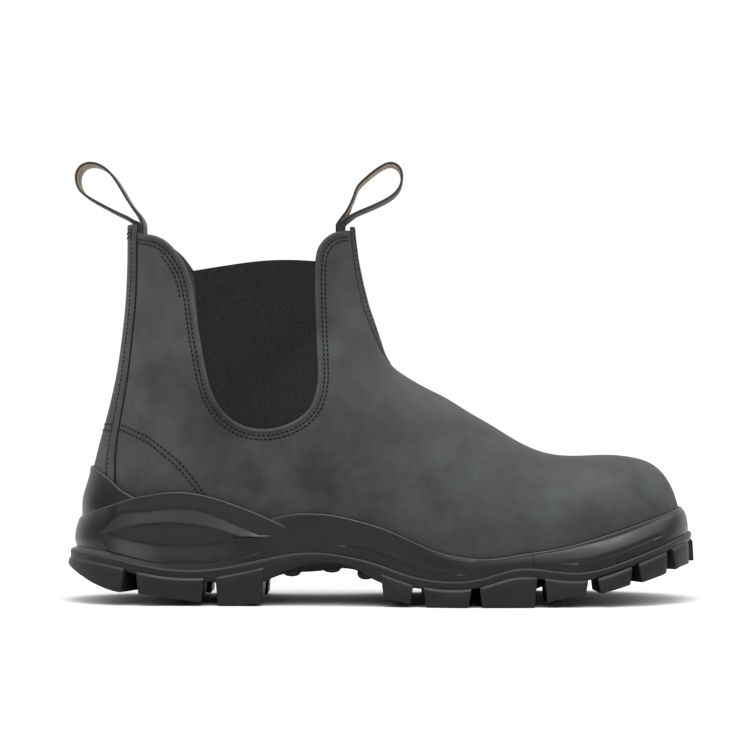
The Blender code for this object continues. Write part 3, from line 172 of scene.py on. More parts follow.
# The edge of the strip over the back seam: height as a share of COLLAR_HEIGHT, half width as a share
# of BACK_STRIP_WIDTH. It spreads towards the sole.
BACK_STRIP_EDGE = (
    (1.010, 0.49), (0.850, 0.50), (0.700, 0.52), (0.580, 0.57), (0.500, 0.64), (0.420, 0.73),
    (0.340, 0.84), (0.240, 0.96),
)
# The narrow strip over the front seam, in the same way: shares of COLLAR_HEIGHT and FRONT_STRIP_WIDTH.
FRONT_STRIP_EDGE = ((1.010, 0.40), (0.900, 0.46), (0.780, 0.50), (0.700, 0.43), (0.655, 0.29), (0.632, 0.11))
FRONT_STRIP_TOP = 0.9955
print("sections: %d on the foot, %d on the shaft" % (len(FOOT_ROWS), len(SHAFT_ROWS)))

# %% [markdown]
# ## Curves through a few numbers
#
# A table of a dozen rows is enough for a smooth shape if a smooth curve runs through it. A natural
# cubic spline is such a curve: it bends as a thin strip of wood does when it is held at the same points.

# %% Splines and small shaping functions
def spline(places, values, level_end=False):
    """A smooth curve through the values; level_end makes its last stretch run out level."""
    x = np.asarray(places, float)
    y = np.asarray(values, float)
    n = len(x)
    h = np.diff(x)
    rows = np.zeros((n, n))
    right = np.zeros(n)
    rows[0, 0] = rows[-1, -1] = 1.0
    for i in range(1, n - 1):
        rows[i, i - 1 : i + 2] = h[i - 1], 2 * (h[i - 1] + h[i]), h[i]
        right[i] = 6 * ((y[i + 1] - y[i]) / h[i] - (y[i] - y[i - 1]) / h[i - 1])
    if level_end:
        rows[-1, -2:] = h[-1], 2 * h[-1]
        right[-1] = -6 * (y[-1] - y[-2]) / h[-1]
    bend = np.linalg.solve(rows, right)

    def at(place):
        p = min(max(place, x[0]), x[-1])
        i = min(int(np.searchsorted(x, p, side="right")) - 1, n - 2)
        a, b = x[i + 1] - p, p - x[i]
        curve = (bend[i] * a**3 + bend[i + 1] * b**3) / (6 * h[i])
        ends = (y[i] / h[i] - bend[i] * h[i] / 6) * a + (y[i + 1] / h[i] - bend[i + 1] * h[i] / 6) * b
        return float(curve + ends)

    return at


def line(rows, x_size, z_size):
    """A side line read at x, from a table of shares."""
    table = np.array(rows, float)
    return spline(table[:, 0] * x_size, table[:, 1] * z_size)


def straight_line(rows, x_size, z_size):
    table = np.array(rows, float)
    return lambda x: float(np.interp(x, table[:, 0] * x_size, table[:, 1] * z_size))


def smooth(share):
    t = min(max(share, 0.0), 1.0)
    return t * t * (3 - 2 * t)


def bump(place, middle, reach):
    return smooth(1 - abs(place - middle) / reach)


def mix(a, b, share):
    return a + (b - a) * share


def travelled(points):
    """How far along a line each of its points lies."""
    return np.concatenate([[0], np.cumsum(np.linalg.norm(np.diff(points, axis=0), axis=1))])


def heading(points):
    """The direction in which a line runs at each of its points."""
    run = np.gradient(points, axis=0)
    return run / np.linalg.norm(run, axis=1, keepdims=True)


def curve_through(table, count):
    """Points on a smooth curve through a table of (x, z)."""
    reach = travelled(table)
    xs, zs = spline(reach, table[:, 0]), spline(reach, table[:, 1])
    return np.array([(xs(s), zs(s)) for s in np.linspace(0, reach[-1], count)])


back_x = line(BACK_LINE, COLLAR_HEIGHT, LENGTH)
seat_rows = np.array(SEAT_LINE)
seat_z = spline(seat_rows[:, 0] * LENGTH, seat_rows[:, 1:] @ np.array([HEEL_SEAT, BALL_SEAT, TOE_SEAT]))
print("seat height at the ball: %.1f mm" % (1000 * seat_z(0.63 * LENGTH)))

# %% [markdown]
# ## The last
#
# A shoemaker pulls the leather over a last, a foot-shaped block. Here the last is a formula: a fan of
# sections that starts at the toe, turns round the instep and climbs the shaft. A point on it is found
# from its place in the fan and an angle round the section. A formula can be read as finely as needed,
# so the dressed leather is smooth where the solid has flat faces.

# %% A point on the last
SWING_START = 0.45
SWING_RUN = 0.52


def swing(x):
    """How far the boot's middle line has turned inwards at x. It starts to turn ahead of the arch."""
    return TOE_SWING * smooth((x / LENGTH - SWING_START) / SWING_RUN)


def front_height(level):
    shaft = COLLAR_HEIGHT - INSTEP_HEIGHT
    heights = (TOE_SEAT, TOE_BOX_HEIGHT, INSTEP_HEIGHT, COLLAR_HEIGHT, COLLAR_HEIGHT + shaft)
    return float(np.interp(level, range(5), heights))


def section_splines(columns, rows):
    """One spline for each column of a section table, with the half widths and heights in metres."""
    tables = {name: [row[i] for row in rows] for i, name in enumerate(columns)}
    tables["front_x"] = [v * LENGTH for v in tables["front_x"]]
    tables["front_z"] = [front_height(v) for v in tables["level"]]
    for side in ("lateral", "medial"):
        tables[side] = [v * size for v, size in zip(tables[side], tables["size"])]
    if "sole_x" in tables:
        tables["sole_x"] = [v * LENGTH for v in tables["sole_x"]]
    else:
        tables["back_z"] = [v * COLLAR_HEIGHT for v in tables["back_z"]]
    for used in ("size", "level"):
        del tables[used]
    return {name: spline(range(len(rows)), v, level_end=name == "sole_x") for name, v in tables.items()}


foot = section_splines(FOOT_COLUMNS, FOOT_ROWS)
shaft = section_splines(SHAFT_COLUMNS, SHAFT_ROWS)
HEEL_END = len(FOOT_ROWS) - 1
FAN_END = HEEL_END + len(SHAFT_ROWS) - 1


def back_round(z):
    return float(np.interp(z / COLLAR_HEIGHT, (0.25, 0.60, 1.0), (HEEL_ROUND, ANKLE_ROUND, COLLAR_ROUND)))


def last_point(u, angle):
    """A point on the upper's outer face: u runs from the toe (0) over the heel's end to the collar,
    and angle from the front line (0) to the sole or back line (pi), negative on the lateral side."""
    on_foot = u < HEEL_END
    row = foot if on_foot else shaft
    place = u if on_foot else u - HEEL_END
    side = "lateral" if angle < 0 else "medial"
    front_x, front_z = row["front_x"](place), row["front_z"](place)
    if on_foot:
        end_x = row["sole_x"](place)
        end_z = seat_z(end_x)
    else:
        end_z = row["back_z"](place)
        end_x = back_x(end_z)
    t = (1 - math.cos(angle)) / 2
    x, z = mix(front_x, end_x, t), mix(front_z, end_z, t)
    crown, widest = row["crown"](place), row["widest"](place)
    if t < widest:
        arch = (1 - (1 - t / widest) ** crown) ** (1 / crown)
    else:
        arch = 1 - row["tuck_" + side](place) * ((t - widest) / (1 - widest)) ** 2
    inward = min(max((x - back_x(max(z, seat_z(x)))) / back_round(z), 0.0), 1.0)
    rear = (1 - (1 - inward) ** BACK_FULLNESS) ** (1 / BACK_FULLNESS)
    half = row[side](place) * arch * rear
    return np.array((x, swing(x) + math.copysign(half, angle), z))


# %% [markdown]
# ## Reading the last as a grid
#
# The grid below is fine enough for soft folds. Its normals are averaged over the neighbours, so that a
# wall grown along them stays even. Worn-in leather isn't perfectly smooth: a few folds, each a shallow
# trough with a soft ridge beside it, are set where the foot bends.

# %% The fine grid and its folds
FAN_FINE = 168
SIDE_FINE = 52
# A fold: where it crosses the side, as shares of LENGTH and COLLAR_HEIGHT, the way it runs in degrees,
# its half length and half width in metres, and its depth. A negative depth raises a ridge.
FOLD_COLUMNS = "x z turn reach width depth side".split()
FOLD_ROWS = (
    (0.640, 0.505, 118, 0.030, 0.0065, 0.00055, 0),
    (0.600, 0.520, 112, 0.032, 0.0080, -0.00045, 0),
    (0.565, 0.560, 108, 0.026, 0.0070, 0.00035, 0),
    (0.700, 0.440, 124, 0.024, 0.0070, 0.00040, 0),
    (0.455, 0.560, 62, 0.030, 0.0110, 0.00070, 0),
    (0.415, 0.500, 50, 0.030, 0.0120, -0.00050, 0),
    (0.200, 0.420, 100, 0.026, 0.0120, 0.00050, 0),
    (0.150, 0.640, 80, 0.030, 0.0100, -0.00040, 0),
    (0.440, 0.740, 84, 0.034, 0.0090, -0.00040, 0),
    (0.520, 0.400, 20, 0.040, 0.0120, 0.00060, 1),
    (0.500, 0.380, 170, 0.034, 0.0120, 0.00050, -1),
)


def last_grid(fan_steps, side_steps):
    """The last's outer face as rows of points, each row from the lateral sole round the front."""
    us = np.linspace(0, FAN_END, fan_steps + 1)
    us[np.argmin(abs(us - HEEL_END))] = HEEL_END
    angles = np.linspace(-math.pi, math.pi, 2 * side_steps + 1)
    angles[0] += 1e-9
    angles[-1] -= 1e-9
    return us, np.array([[last_point(u, a) for a in angles] for u in us])


def grid_normals(us, grid):
    """Outward normals, smoothed over neighbours and across the closed back."""
    along = np.gradient(grid, axis=0)
    around = np.gradient(grid, axis=1)
    closed = us >= HEEL_END
    seam = (grid[closed, 1] - grid[closed, -2]) / 2
    around[closed, 0] = around[closed, -1] = seam
    normals = np.cross(around, along)
    normals[:, 0][closed] = normals[:, -1][closed] = (normals[:, 0] + normals[:, -1])[closed] / 2
    return normals / np.linalg.norm(normals, axis=2, keepdims=True)


def fold_depth(point):
    """How far the folds press the leather in at a point, in metres."""
    total = 0.0
    for row in FOLD_ROWS:
        fold = dict(zip(FOLD_COLUMNS, row))
        if fold["side"] * point[1] < 0:
            continue
        dx = point[0] - fold["x"] * LENGTH
        dz = point[2] - fold["z"] * COLLAR_HEIGHT
        turn = math.radians(fold["turn"])
        along = dx * math.cos(turn) + dz * math.sin(turn)
        across = dz * math.cos(turn) - dx * math.sin(turn)
        if abs(along) < fold["reach"] and abs(across) < 3 * fold["width"]:
            fade = bump(along, 0, fold["reach"])
            total += fold["depth"] * fade * math.exp(-((across / fold["width"]) ** 2))
    return total


PLACES, GRID = last_grid(FAN_FINE, SIDE_FINE)
NORMALS = grid_normals(PLACES, GRID)
SOFT = np.array([[fold_depth(p) for p in row] for row in GRID])
print("last: %d x %d points, deepest fold %.2f mm" % (*GRID.shape[:2], 1000 * SOFT.max()))

# %% Meshes from points and faces
def link(name, mesh):
    obj = bpy.data.objects.new(name, mesh)
    bpy.context.scene.collection.objects.link(obj)
    return obj


def make_piece(name, points, faces, materials=(), index=0, sharp=40, weld=1e-6, indices=None):
    """A closed mesh in the solids' frame, from points measured from the heel, faces turned out."""
    work = bmesh.new()
    verts = [work.verts.new(np.asarray(p, float) + TO_FRAME) for p in points]
    for number, face in enumerate(faces):
        ring = [verts[i] for i in dict.fromkeys(face)]
        if len(ring) > 2:
            made = work.faces.new(ring)
            made.material_index = index if indices is None else indices[number]
    bmesh.ops.remove_doubles(work, verts=work.verts, dist=weld)
    bmesh.ops.recalc_face_normals(work, faces=work.faces)
    mesh = bpy.data.meshes.new(name)
    work.to_mesh(mesh)
    work.free()
    for material in materials:
        mesh.materials.append(material)
    mesh.shade_smooth()
    mesh.set_sharp_from_angle(angle=math.radians(sharp))
    return link(name, mesh)


def made_plain(obj, sharp=None):
    """The object with its modifiers worked into its mesh."""
    graph = bpy.context.evaluated_depsgraph_get()
    mesh = bpy.data.meshes.new_from_object(obj.evaluated_get(graph))
    obj.modifiers.clear()
    obj.data = mesh
    if sharp:
        mesh.shade_smooth()
        mesh.set_sharp_from_angle(angle=math.radians(sharp))
    return obj


def cut(target, cutter):
    """Cuts one piece with another, which is used up."""
    tool = target.modifiers.new("cut", "BOOLEAN")
    tool.operation = "DIFFERENCE"
    tool.solver = "EXACT"
    tool.object = cutter
    made_plain(target, 40)
    bpy.data.objects.remove(cutter)


# %% Faces of bands, blocks and sheets
def band(count, rings, joined=False):
    """Faces between rings of count points each; joined also ties the last ring to the first."""
    faces = []
    for i in range(rings if joined else rings - 1):
        m = (i + 1) % rings
        for j in range(count):
            k = (j + 1) % count
            faces.append((i * count + j, i * count + k, m * count + k, m * count + j))
    return faces


def caps(count, total):
    """The two faces that close a band's ends: its first ring, and its last one turned round."""
    return [tuple(range(count)), tuple(range(total - 1, total - count - 1, -1))]


def side_prism(outline, low_y, high_y):
    """Points and faces of a block standing across the boot, from an outline of (x, z) points."""
    points = [(x, y, z) for y in (low_y, high_y) for x, z in outline]
    return points, caps(len(outline), len(points)) + band(len(outline), 2)


def sampled(rows, steps):
    """Points on a smooth curve through a table of shares of LENGTH and COLLAR_HEIGHT, in metres."""
    return curve_through(np.array(rows, float) * (LENGTH, COLLAR_HEIGHT), steps + 1)


def closed_sheet(outer, inner, rows, columns):
    """Points and faces of a sheet with a wall: its outside, its inside and the edge between them."""
    count = rows * columns
    points = [*outer, *inner]
    faces = []
    for i in range(rows - 1):
        for j in range(columns - 1):
            a = i * columns + j
            face = (a, a + 1, a + columns + 1, a + columns)
            faces += [face, tuple(count + v for v in reversed(face))]
    border = [j for j in range(columns)]
    border += [i * columns + columns - 1 for i in range(1, rows)]
    border += [(rows - 1) * columns + j for j in range(columns - 2, -1, -1)]
    border += [i * columns for i in range(rows - 2, 0, -1)]
    for k, a in enumerate(border):
        b = border[(k + 1) % len(border)]
        faces.append((a, b, count + b, count + a))
    return points, faces


# %% Rounding edges, and hanging a piece on the boot
def round_edges(obj, width, angle, sharp):
    """Rounds every edge that is sharper than an angle in degrees."""
    rounding = obj.modifiers.new("rounding", "BEVEL")
    rounding.width = width
    rounding.segments = 2
    rounding.limit_method = "ANGLE"
    rounding.angle_limit = math.radians(angle)
    return made_plain(obj, sharp)


def claim(piece, finish_slot, *nodes):
    """Lets a piece ride with the boot, and hides the solids that it stands in for."""
    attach(piece, "root")
    if nodes:
        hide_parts(*nodes)


# %% [markdown]
# ## Materials written as sums
#
# A finish in Blender is a graph of nodes. Drawn by hand it is a tangle of wires; written as a sum it
# can be read. The small class below wraps one socket, so that `cloud * 0.4 + grain` adds the Math
# nodes it stands for. Colours and vectors have nodes of their own, because a Math node would turn a
# colour grey, and every other node comes from one method.

# %% A socket that can be added and multiplied
class Wire:
    """One output socket of a material's node tree."""

    def __init__(self, tree, socket):
        self.tree = tree
        self.socket = socket

    def node(self, kind, settings=None, values=None, out=0):
        """Any node: its type, its settings, and values or wires for its inputs."""
        made = self.tree.nodes.new(kind)
        for name, setting in (settings or {}).items():
            setattr(made, name, setting)
        for name, value in (values or {}).items():
            if isinstance(value, Wire):
                self.tree.links.new(value.socket, made.inputs[name])
            else:
                made.inputs[name].default_value = value
        return Wire(self.tree, made.outputs[out])

    def math(self, operation, *values, clamp=False):
        settings = {"operation": operation, "use_clamp": clamp}
        return self.node("ShaderNodeMath", settings, dict(enumerate(values)))

    def __add__(self, other):
        return self.math("ADD", self, other)

    def __sub__(self, other):
        return self.math("SUBTRACT", self, other)

    def __rsub__(self, other):
        return self.math("SUBTRACT", other, self)

    def __mul__(self, other):
        return self.math("MULTIPLY", self, other)

    def limited(self):
        """The same value held between 0 and 1."""
        return self.math("ADD", self, 0.0, clamp=True)

    def step(self, low, high, start=0.0, end=1.0):
        """A soft step: start below low, end above high."""
        values = {"From Min": low, "From Max": high, "To Min": start, "To Max": end}
        ranged = {"interpolation_type": "SMOOTHSTEP"}
        return self.node("ShaderNodeMapRange", ranged, {"Value": self, **values})

    def blend(self, low, high):
        """A colour between two colours or colour wires, by this value."""
        settings = {"data_type": "RGBA", "clamp_factor": True}
        return self.node("ShaderNodeMix", settings, {0: self, 6: low, 7: high}, out=2)

    def colour(self, low, high):
        """The same between two colours given as red, green and blue."""
        return self.blend((*low, 1), (*high, 1))

    def shade(self, amount):
        """This colour made darker or lighter by a value around 1."""
        grey = amount.node("ShaderNodeCombineColor", None, {0: amount, 1: amount, 2: amount})
        values = {0: 1.0, 6: self, 7: grey}
        settings = {"data_type": "RGBA", "blend_type": "MULTIPLY"}
        return self.node("ShaderNodeMix", settings, values, out=2)

    def noise(self, scale, detail, rough):
        """Cloudy noise on these coordinates. Scale is in clouds per metre."""
        values = {"Vector": self, "Scale": scale, "Detail": detail, "Roughness": rough, "Lacunarity": 2.0}
        return self.node("ShaderNodeTexNoise", None, values)

    def moved(self, offset):
        """These coordinates shifted, so that two noises of one kind don't run alike."""
        return self.node("ShaderNodeMapping", None, {0: self, 1: offset})

    def apart(self):
        """The three numbers of a vector."""
        made = self.node("ShaderNodeSeparateXYZ", None, {0: self})
        outputs = made.socket.node.outputs
        return [Wire(self.tree, outputs[i]) for i in range(3)]


def finish(name, **constants):
    """A new material. Constants go on the shader's own sockets. Returns it, its coordinates and a wiring
    function, which takes the sockets that vary."""
    material = bpy.data.materials.new(name)
    material.use_nodes = True
    tree = material.node_tree
    shader = tree.nodes["Principled BSDF"]
    for socket, value in constants.items():
        shader.inputs[socket.replace("_", " ")].default_value = value

    def source(output):
        found = tree.nodes.get("Texture Coordinate") or tree.nodes.new("ShaderNodeTexCoord")
        return Wire(tree, found.outputs[output])

    def wire(**inputs):
        for socket, value in inputs.items():
            tree.links.new(value.socket, shader.inputs[socket.replace("_", " ")])

    return material, source, wire


def relief(height, strength, distance):
    """Turns a height into a bumped normal. Distance is the height's real size in metres."""
    values = {"Strength": strength, "Distance": distance, "Height": height}
    return height.node("ShaderNodeBump", None, values)


# %% [markdown]
# ## The leather
#
# Waxed, brushed leather is cloudy: the wax lies thicker in some places, and the brush has pulled warm
# and cool greys out of the dye. Seen close it has a short nap with fine pores. A picture of leather
# would give all this, but slides and repeats; layers of noise, from coarse to fine, give it at any
# distance. The largest clouds are about six centimetres wide, and the nap is half a millimetre.

# %% Leather, brushed and waxed
COOL_DARK = (0.0145, 0.0166, 0.0161)
COOL_LIGHT = (0.0460, 0.0505, 0.0488)
WARM_DARK = (0.0160, 0.0157, 0.0148)
WARM_LIGHT = (0.0440, 0.0435, 0.0412)
LEATHER_GRAIN = 0.00012


def leather_finish(name, lightness=1.0):
    material, source, wire = finish(name, Specular_IOR_Level=0.18, Sheen_Weight=0.015, Sheen_Roughness=0.55)
    place = source("Object")
    broad = place.noise(17.0, 3.0, 0.55)
    hue = place.moved((0.31, 0.12, 0.47)).noise(21.0, 4.0, 0.6)
    patch = place.moved((0.7, 0.2, 0.1)).noise(62.0, 5.0, 0.66)
    nap = place.noise(1900.0, 2.0, 0.6)
    pores = place.noise(700.0, 3.0, 0.6)
    depth = (broad.step(0.34, 0.68) * 0.55 + patch.step(0.30, 0.70) * 0.45).limited()
    cool = depth.colour(COOL_DARK, COOL_LIGHT)
    warm = depth.colour(WARM_DARK, WARM_LIGHT)
    mottled = hue.step(0.47, 0.66).blend(cool, warm)
    # A lightness above 1 lightens the whole colour; the rolled edges use it as a painted highlight.
    speckle = (nap - 0.5) * 0.35 + (pores - 0.5) * 0.22 + lightness
    rough = (patch.step(0.3, 0.7, 0.66, 0.80) + (nap - 0.5) * 0.15).limited()
    grain = nap * 0.45 + pores * 0.55 + place.noise(260.0, 2.0, 0.5) * 0.6
    wire(Base_Color=mottled.shade(speckle), Roughness=rough, Normal=relief(grain, 0.30, LEATHER_GRAIN))
    return material


leather = leather_finish("brushed_leather")
# The rolled edges' leather is made 12 per cent lighter: a painted highlight along the rim, over the light
# its bead catches.
edge_highlight_leather = leather_finish("rolled_edge_leather", 1.12)
print("leather:", leather.name, "and", edge_highlight_leather.name)

# %% Lining and footbed
LINING_DARK = (0.030, 0.030, 0.029)
LINING_LIGHT = (0.052, 0.051, 0.048)


def lining_finish():
    """Smooth lining leather: hardly any clouds, a fine even grain."""
    material, source, wire = finish("lining_leather", Specular_IOR_Level=0.3)
    place = source("Object")
    clouds = place.noise(45.0, 3.0, 0.5)
    grain = place.noise(1200.0, 3.0, 0.6)
    colour = clouds.step(0.3, 0.7).colour(LINING_DARK, LINING_LIGHT).shade((grain - 0.5) * 0.3 + 1.0)
    wire(Base_Color=colour, Roughness=clouds.step(0.3, 0.7, 0.6, 0.75), Normal=relief(grain, 0.25, 0.0001))
    return material


def cloth_finish(name, dark, light, pitch):
    """Plain woven cloth: two sets of ridges at right angles, one over the other in turn."""
    material, source, wire = finish(name, Specular_IOR_Level=0.2, Sheen_Weight=0.2, Sheen_Roughness=0.5)
    x, y, _ = source("Object").apart()
    turns = 2 * math.pi / pitch
    warp, weft = (x * turns).math("SINE", x * turns), (y * turns).math("SINE", y * turns)
    weave = warp * weft * 0.5 + 0.5
    fuzz = source("Object").noise(900.0, 2.0, 0.6)
    mix_in = (weave * 0.6 + fuzz * 0.4).limited()
    wire(
        Base_Color=mix_in.colour(dark, light),
        Roughness=fuzz.step(0.2, 0.8, 0.8, 0.95),
        Normal=relief(weave + fuzz * 0.4, 0.5, 0.0002),
    )
    return material


lining = lining_finish()
footbed = cloth_finish("footbed_cloth", (0.012, 0.012, 0.013), (0.036, 0.036, 0.038), 0.0016)

# %% [markdown]
# ## The elastic
#
# The side panels are woven elastic: rubber threads run round the ankle, and a fine textile yarn is
# knitted over them. From a step away it is a flat black with a faint glitter. Small knots and fuzz make
# most of it here, and upright ribs, broken into loops by a second wave, are only just there.

# %% Woven elastic
RIB_PITCH = 0.00130
LOOP_PITCH = 0.0009


def elastic_finish():
    material, source, wire = finish("woven_elastic", Specular_IOR_Level=0.15, Sheen_Weight=0.02)
    place = source("Object")
    x, _, z = place.apart()
    rib_turn, loop_turn = 2 * math.pi / RIB_PITCH, 2 * math.pi / LOOP_PITCH
    wobble = (place.noise(120.0, 2.0, 0.5) - 0.5) * 1.4
    lean = x * rib_turn + wobble
    rib = lean.math("SINE", lean) * 0.5 + 0.5
    along = z * loop_turn + rib.step(0.4, 0.6, 0.0, math.pi)
    loop = along.math("SINE", along) * 0.5 + 0.5
    fuzz = place.noise(1500.0, 2.0, 0.7)
    knots = place.noise(1400.0, 1.0, 0.5)
    yarn = rib * 0.05 + loop * 0.10 + fuzz * 0.50 + knots * 0.65
    colour = yarn.step(0.42, 0.92).colour((0.0025, 0.0025, 0.0027), (0.0135, 0.0135, 0.0143))
    wire(Base_Color=colour, Roughness=fuzz.step(0.2, 0.8, 0.75, 0.95), Normal=relief(yarn, 0.5, 0.00020))
    return material


elastic = elastic_finish()

# %% [markdown]
# ## Rubber
#
# The sole is moulded: the midsole comes out of a polished mould with a satin skin, and the tread is a
# harder, duller rubber. Both are nearly black, so their shapes show only by what they reflect. The
# roughness matters more than the colour here, and it varies a little, as moulded rubber's does.

# %% Midsole skin and tread rubber
def rubber_finish(name, dark, light, rough_low, rough_high, grain_height):
    material, source, wire = finish(name, Specular_IOR_Level=0.27)
    place = source("Object")
    bloom = place.noise(32.0, 4.0, 0.6)
    dust = place.noise(240.0, 4.0, 0.7)
    grain = place.noise(1500.0, 2.0, 0.5)
    tone = (bloom.step(0.3, 0.7) * 0.6 + dust.step(0.35, 0.75) * 0.4).limited()
    rough = bloom.step(0.3, 0.7, rough_low, rough_high) + (dust - 0.5) * 0.12
    wire(
        Base_Color=tone.colour(dark, light),
        Roughness=rough.limited(),
        Normal=relief(grain + dust * 0.5, 0.35, grain_height),
    )
    return material


SKIN_TONES = (0.0060, 0.0061, 0.0068), (0.0100, 0.0101, 0.0111)
TREAD_TONES = (0.0038, 0.0039, 0.0044), (0.0078, 0.0079, 0.0087)
midsole_skin = rubber_finish("midsole_skin", *SKIN_TONES, 0.30, 0.42, 0.00005)
tread_rubber = rubber_finish("tread_rubber", *TREAD_TONES, 0.42, 0.56, 0.00007)

# %% Thread and webbing
WEFT_PITCH = 0.0011
WARP_PITCH = 0.0014


def thread_finish():
    """Waxed thread, with a faint twist along each stitch."""
    material, source, wire = finish("waxed_thread", Specular_IOR_Level=0.12)
    twist = source("Object").noise(2600.0, 1.0, 0.5)
    wire(
        Base_Color=twist.colour((0.0018, 0.0019, 0.0019), (0.0060, 0.0062, 0.0062)),
        Roughness=twist.step(0.2, 0.8, 0.45, 0.7),
    )
    return material


def webbing_finish(name, dark, light):
    """Flat woven tape. Its pattern follows the tape, so it reads the UV map, in metres along and across."""
    material, source, wire = finish(name, Specular_IOR_Level=0.2, Sheen_Weight=0.15)
    along, across, _ = source("UV").apart()
    pick = along * (2 * math.pi / WEFT_PITCH)
    end = across * (2 * math.pi / WARP_PITCH)
    ribs = end.math("SINE", end) * 0.5 + 0.5
    shifted = pick + ribs.step(0.45, 0.55, 0.0, math.pi)
    picks = shifted.math("SINE", shifted) * 0.5 + 0.5
    fuzz = source("UV").noise(1600.0, 2.0, 0.7)
    yarn = picks * 0.5 + ribs * 0.3 + fuzz * 0.4
    wire(
        Base_Color=yarn.step(0.2, 1.0).colour(dark, light),
        Roughness=fuzz.step(0.2, 0.8, 0.75, 0.95),
        Normal=relief(yarn, 0.6, 0.0003),
    )
    return material


thread = thread_finish()
webbing_dark = webbing_finish("webbing_outside", (0.0085, 0.0085, 0.0088), (0.0330, 0.0325, 0.0315))
webbing_tan = webbing_finish("webbing_inside", (0.1900, 0.1350, 0.0900), (0.5000, 0.3900, 0.2850))
print("finishes:", len(bpy.data.materials))

# %% [markdown]
# ## The upper
#
# The leather is one hollow wall. It could be modelled face by face, but the quickest true way is the
# shoemaker's: make the outside from the last, take away the same last made smaller by the leather's
# thickness, and cut the collar and the notches with a knife that follows the pattern's edge. The
# inner last carries the lining's material, so the cut leaves the lining where it belongs.

# %% Cutting the leather
def form(name, grow, drop=0.0, folds=0.0, index=0):
    """The last as a closed solid, grown all round, with a share of the folds pressed in."""
    grid = GRID + NORMALS * (grow - folds * SOFT)[..., None]
    foot_rows = PLACES <= HEEL_END
    for column in (0, -1):
        grid[foot_rows, column, 2] = GRID[foot_rows, column, 2] - drop
    rows, columns = grid.shape[:2]
    places = np.arange(rows * columns).reshape(rows, columns)
    closed = np.flatnonzero(PLACES > HEEL_END)
    places[closed, -1] = places[closed, 0]
    faces = []
    for i in range(rows - 1):
        for j in range(columns - 1):
            faces.append((places[i, j], places[i, j + 1], places[i + 1, j + 1], places[i + 1, j]))
    for i in range(int(foot_rows.sum())):
        faces.append((places[i, -1], places[i, 0], places[i + 1, 0], places[i + 1, -1]))
    faces.append(tuple(places[-1, :-1]))
    faces.append(tuple(places[0]))
    return make_piece(name, grid.reshape(-1, 3), faces, (leather, lining), index=index)


upper = form("upper_leather", 0, folds=1.0)
cut(upper, form("foot_space", -UPPER_WALL, drop=OPEN_DROP, index=1))
edge_line = sampled(LEATHER_EDGE, 220)
sky = COLLAR_HEIGHT * 1.2
above = [*map(tuple, edge_line), (LENGTH * 0.5, sky), (LENGTH * 0.05, sky)]
cut(upper, make_piece("above", *side_prism(above, -LENGTH, LENGTH), (leather, lining)))
claim(upper, "upper_leather", "upper")
print("upper: %d faces" % len(upper.data.polygons))

# %% [markdown]
# ## Finding a place on the leather
#
# Seams, rims and stitches all lie on the leather. They are drawn flat, as on a paper pattern seen
# from the side, and thrown sideways onto the last: a ray from each point stops where it meets it.

# %% Throwing a flat line onto the leather
# Where the rays start: beside the boot, behind it, and ahead of the shaft.
SIDE_START = 0.2
BACK_START = -0.1
FRONT_START = 0.3


def skin_tree(grow=0.0):
    """The last's skin as a thing that rays can hit, measured from the heel."""
    grid = GRID + NORMALS * (grow - SOFT)[..., None]
    rows, columns = grid.shape[:2]
    faces = [
        (i * columns + j, i * columns + j + 1, (i + 1) * columns + j + 1, (i + 1) * columns + j)
        for i in range(rows - 1)
        for j in range(columns - 1)
    ]
    return BVHTree.FromPolygons([Vector(p) for p in grid.reshape(-1, 3)], faces)


skin = skin_tree()


def outward(normal, direction):
    """The normal, turned to the side that the ray came from."""
    n = np.array(normal)
    return n if n @ np.array(direction) < 0 else -n


def throw(tree, origin, direction):
    """Where a ray meets the tree and the surface's outward normal there, or None."""
    spot, normal, _, _ = tree.ray_cast(Vector(origin), Vector(direction))
    return None if spot is None else (np.array(spot), outward(normal, direction))


def thrown(tree, origins, direction):
    """The spots where rays from the origins meet the tree, and the outward normals there."""
    found = [throw(tree, origin, direction) for origin in origins]
    found = [f for f in found if f]
    return np.array([p for p, _ in found]), np.array([n for _, n in found])


def from_side(flat, sign):
    """Points (x, z) drawn from the side, on the leather's surface, with their normals."""
    return thrown(skin, [(x, sign * SIDE_START, z) for x, z in flat], (0, -sign, 0))


# %% Flat lines: spaced evenly, or moved aside
def evenly(points, normals, step):
    """The same line with its points a step apart."""
    reach = travelled(points)
    count = max(int(reach[-1] / step), 2)
    marks = np.linspace(0, reach[-1], count + 1)
    spots = np.stack([np.interp(marks, reach, points[:, i]) for i in range(3)], axis=1)
    turned = np.stack([np.interp(marks, reach, normals[:, i]) for i in range(3)], axis=1)
    return spots, turned / np.linalg.norm(turned, axis=1, keepdims=True)


def offset_flat(flat, distance):
    """A flat line moved to its right by a distance."""
    run = heading(flat)
    return flat + np.stack([run[:, 1], -run[:, 0]], axis=1) * distance


# %% [markdown]
# ## Rolled edges
#
# Where the leather meets the elastic, its edge is folded under, which leaves a soft rim about two
# millimetres wide that catches the light. It is a half-round bead swept along the edge, sunk into the
# leather so that only its top shows.

# %% Sweeping a bead along a line
BEAD_TAPER = 0.06


def sweep(points, normals, width, height, sink, sides=10):
    """A bead of oval section along a line on a surface, its ends drawn out to points."""
    across = np.cross(heading(points), normals)
    across /= np.linalg.norm(across, axis=1, keepdims=True)
    count = len(points)
    bead = []
    for i in range(count):
        share = min(i, count - 1 - i) / max(count * BEAD_TAPER, 1)
        size = max(math.sqrt(smooth(share)), 0.05)
        for k in range(sides):
            turn = 2 * math.pi * k / sides
            side = across[i] * math.cos(turn) * width / 2 * size
            up = normals[i] * (math.sin(turn) * height * size - sink)
            bead.append(points[i] + side + up)
    return bead, band(sides, count) + caps(sides, len(bead))


def together(beads):
    """Several beads as one list of points and one of faces."""
    points, faces = [], []
    for bead, bead_faces in beads:
        faces += [tuple(v + len(points) for v in face) for face in bead_faces]
        points += bead
    return points, faces


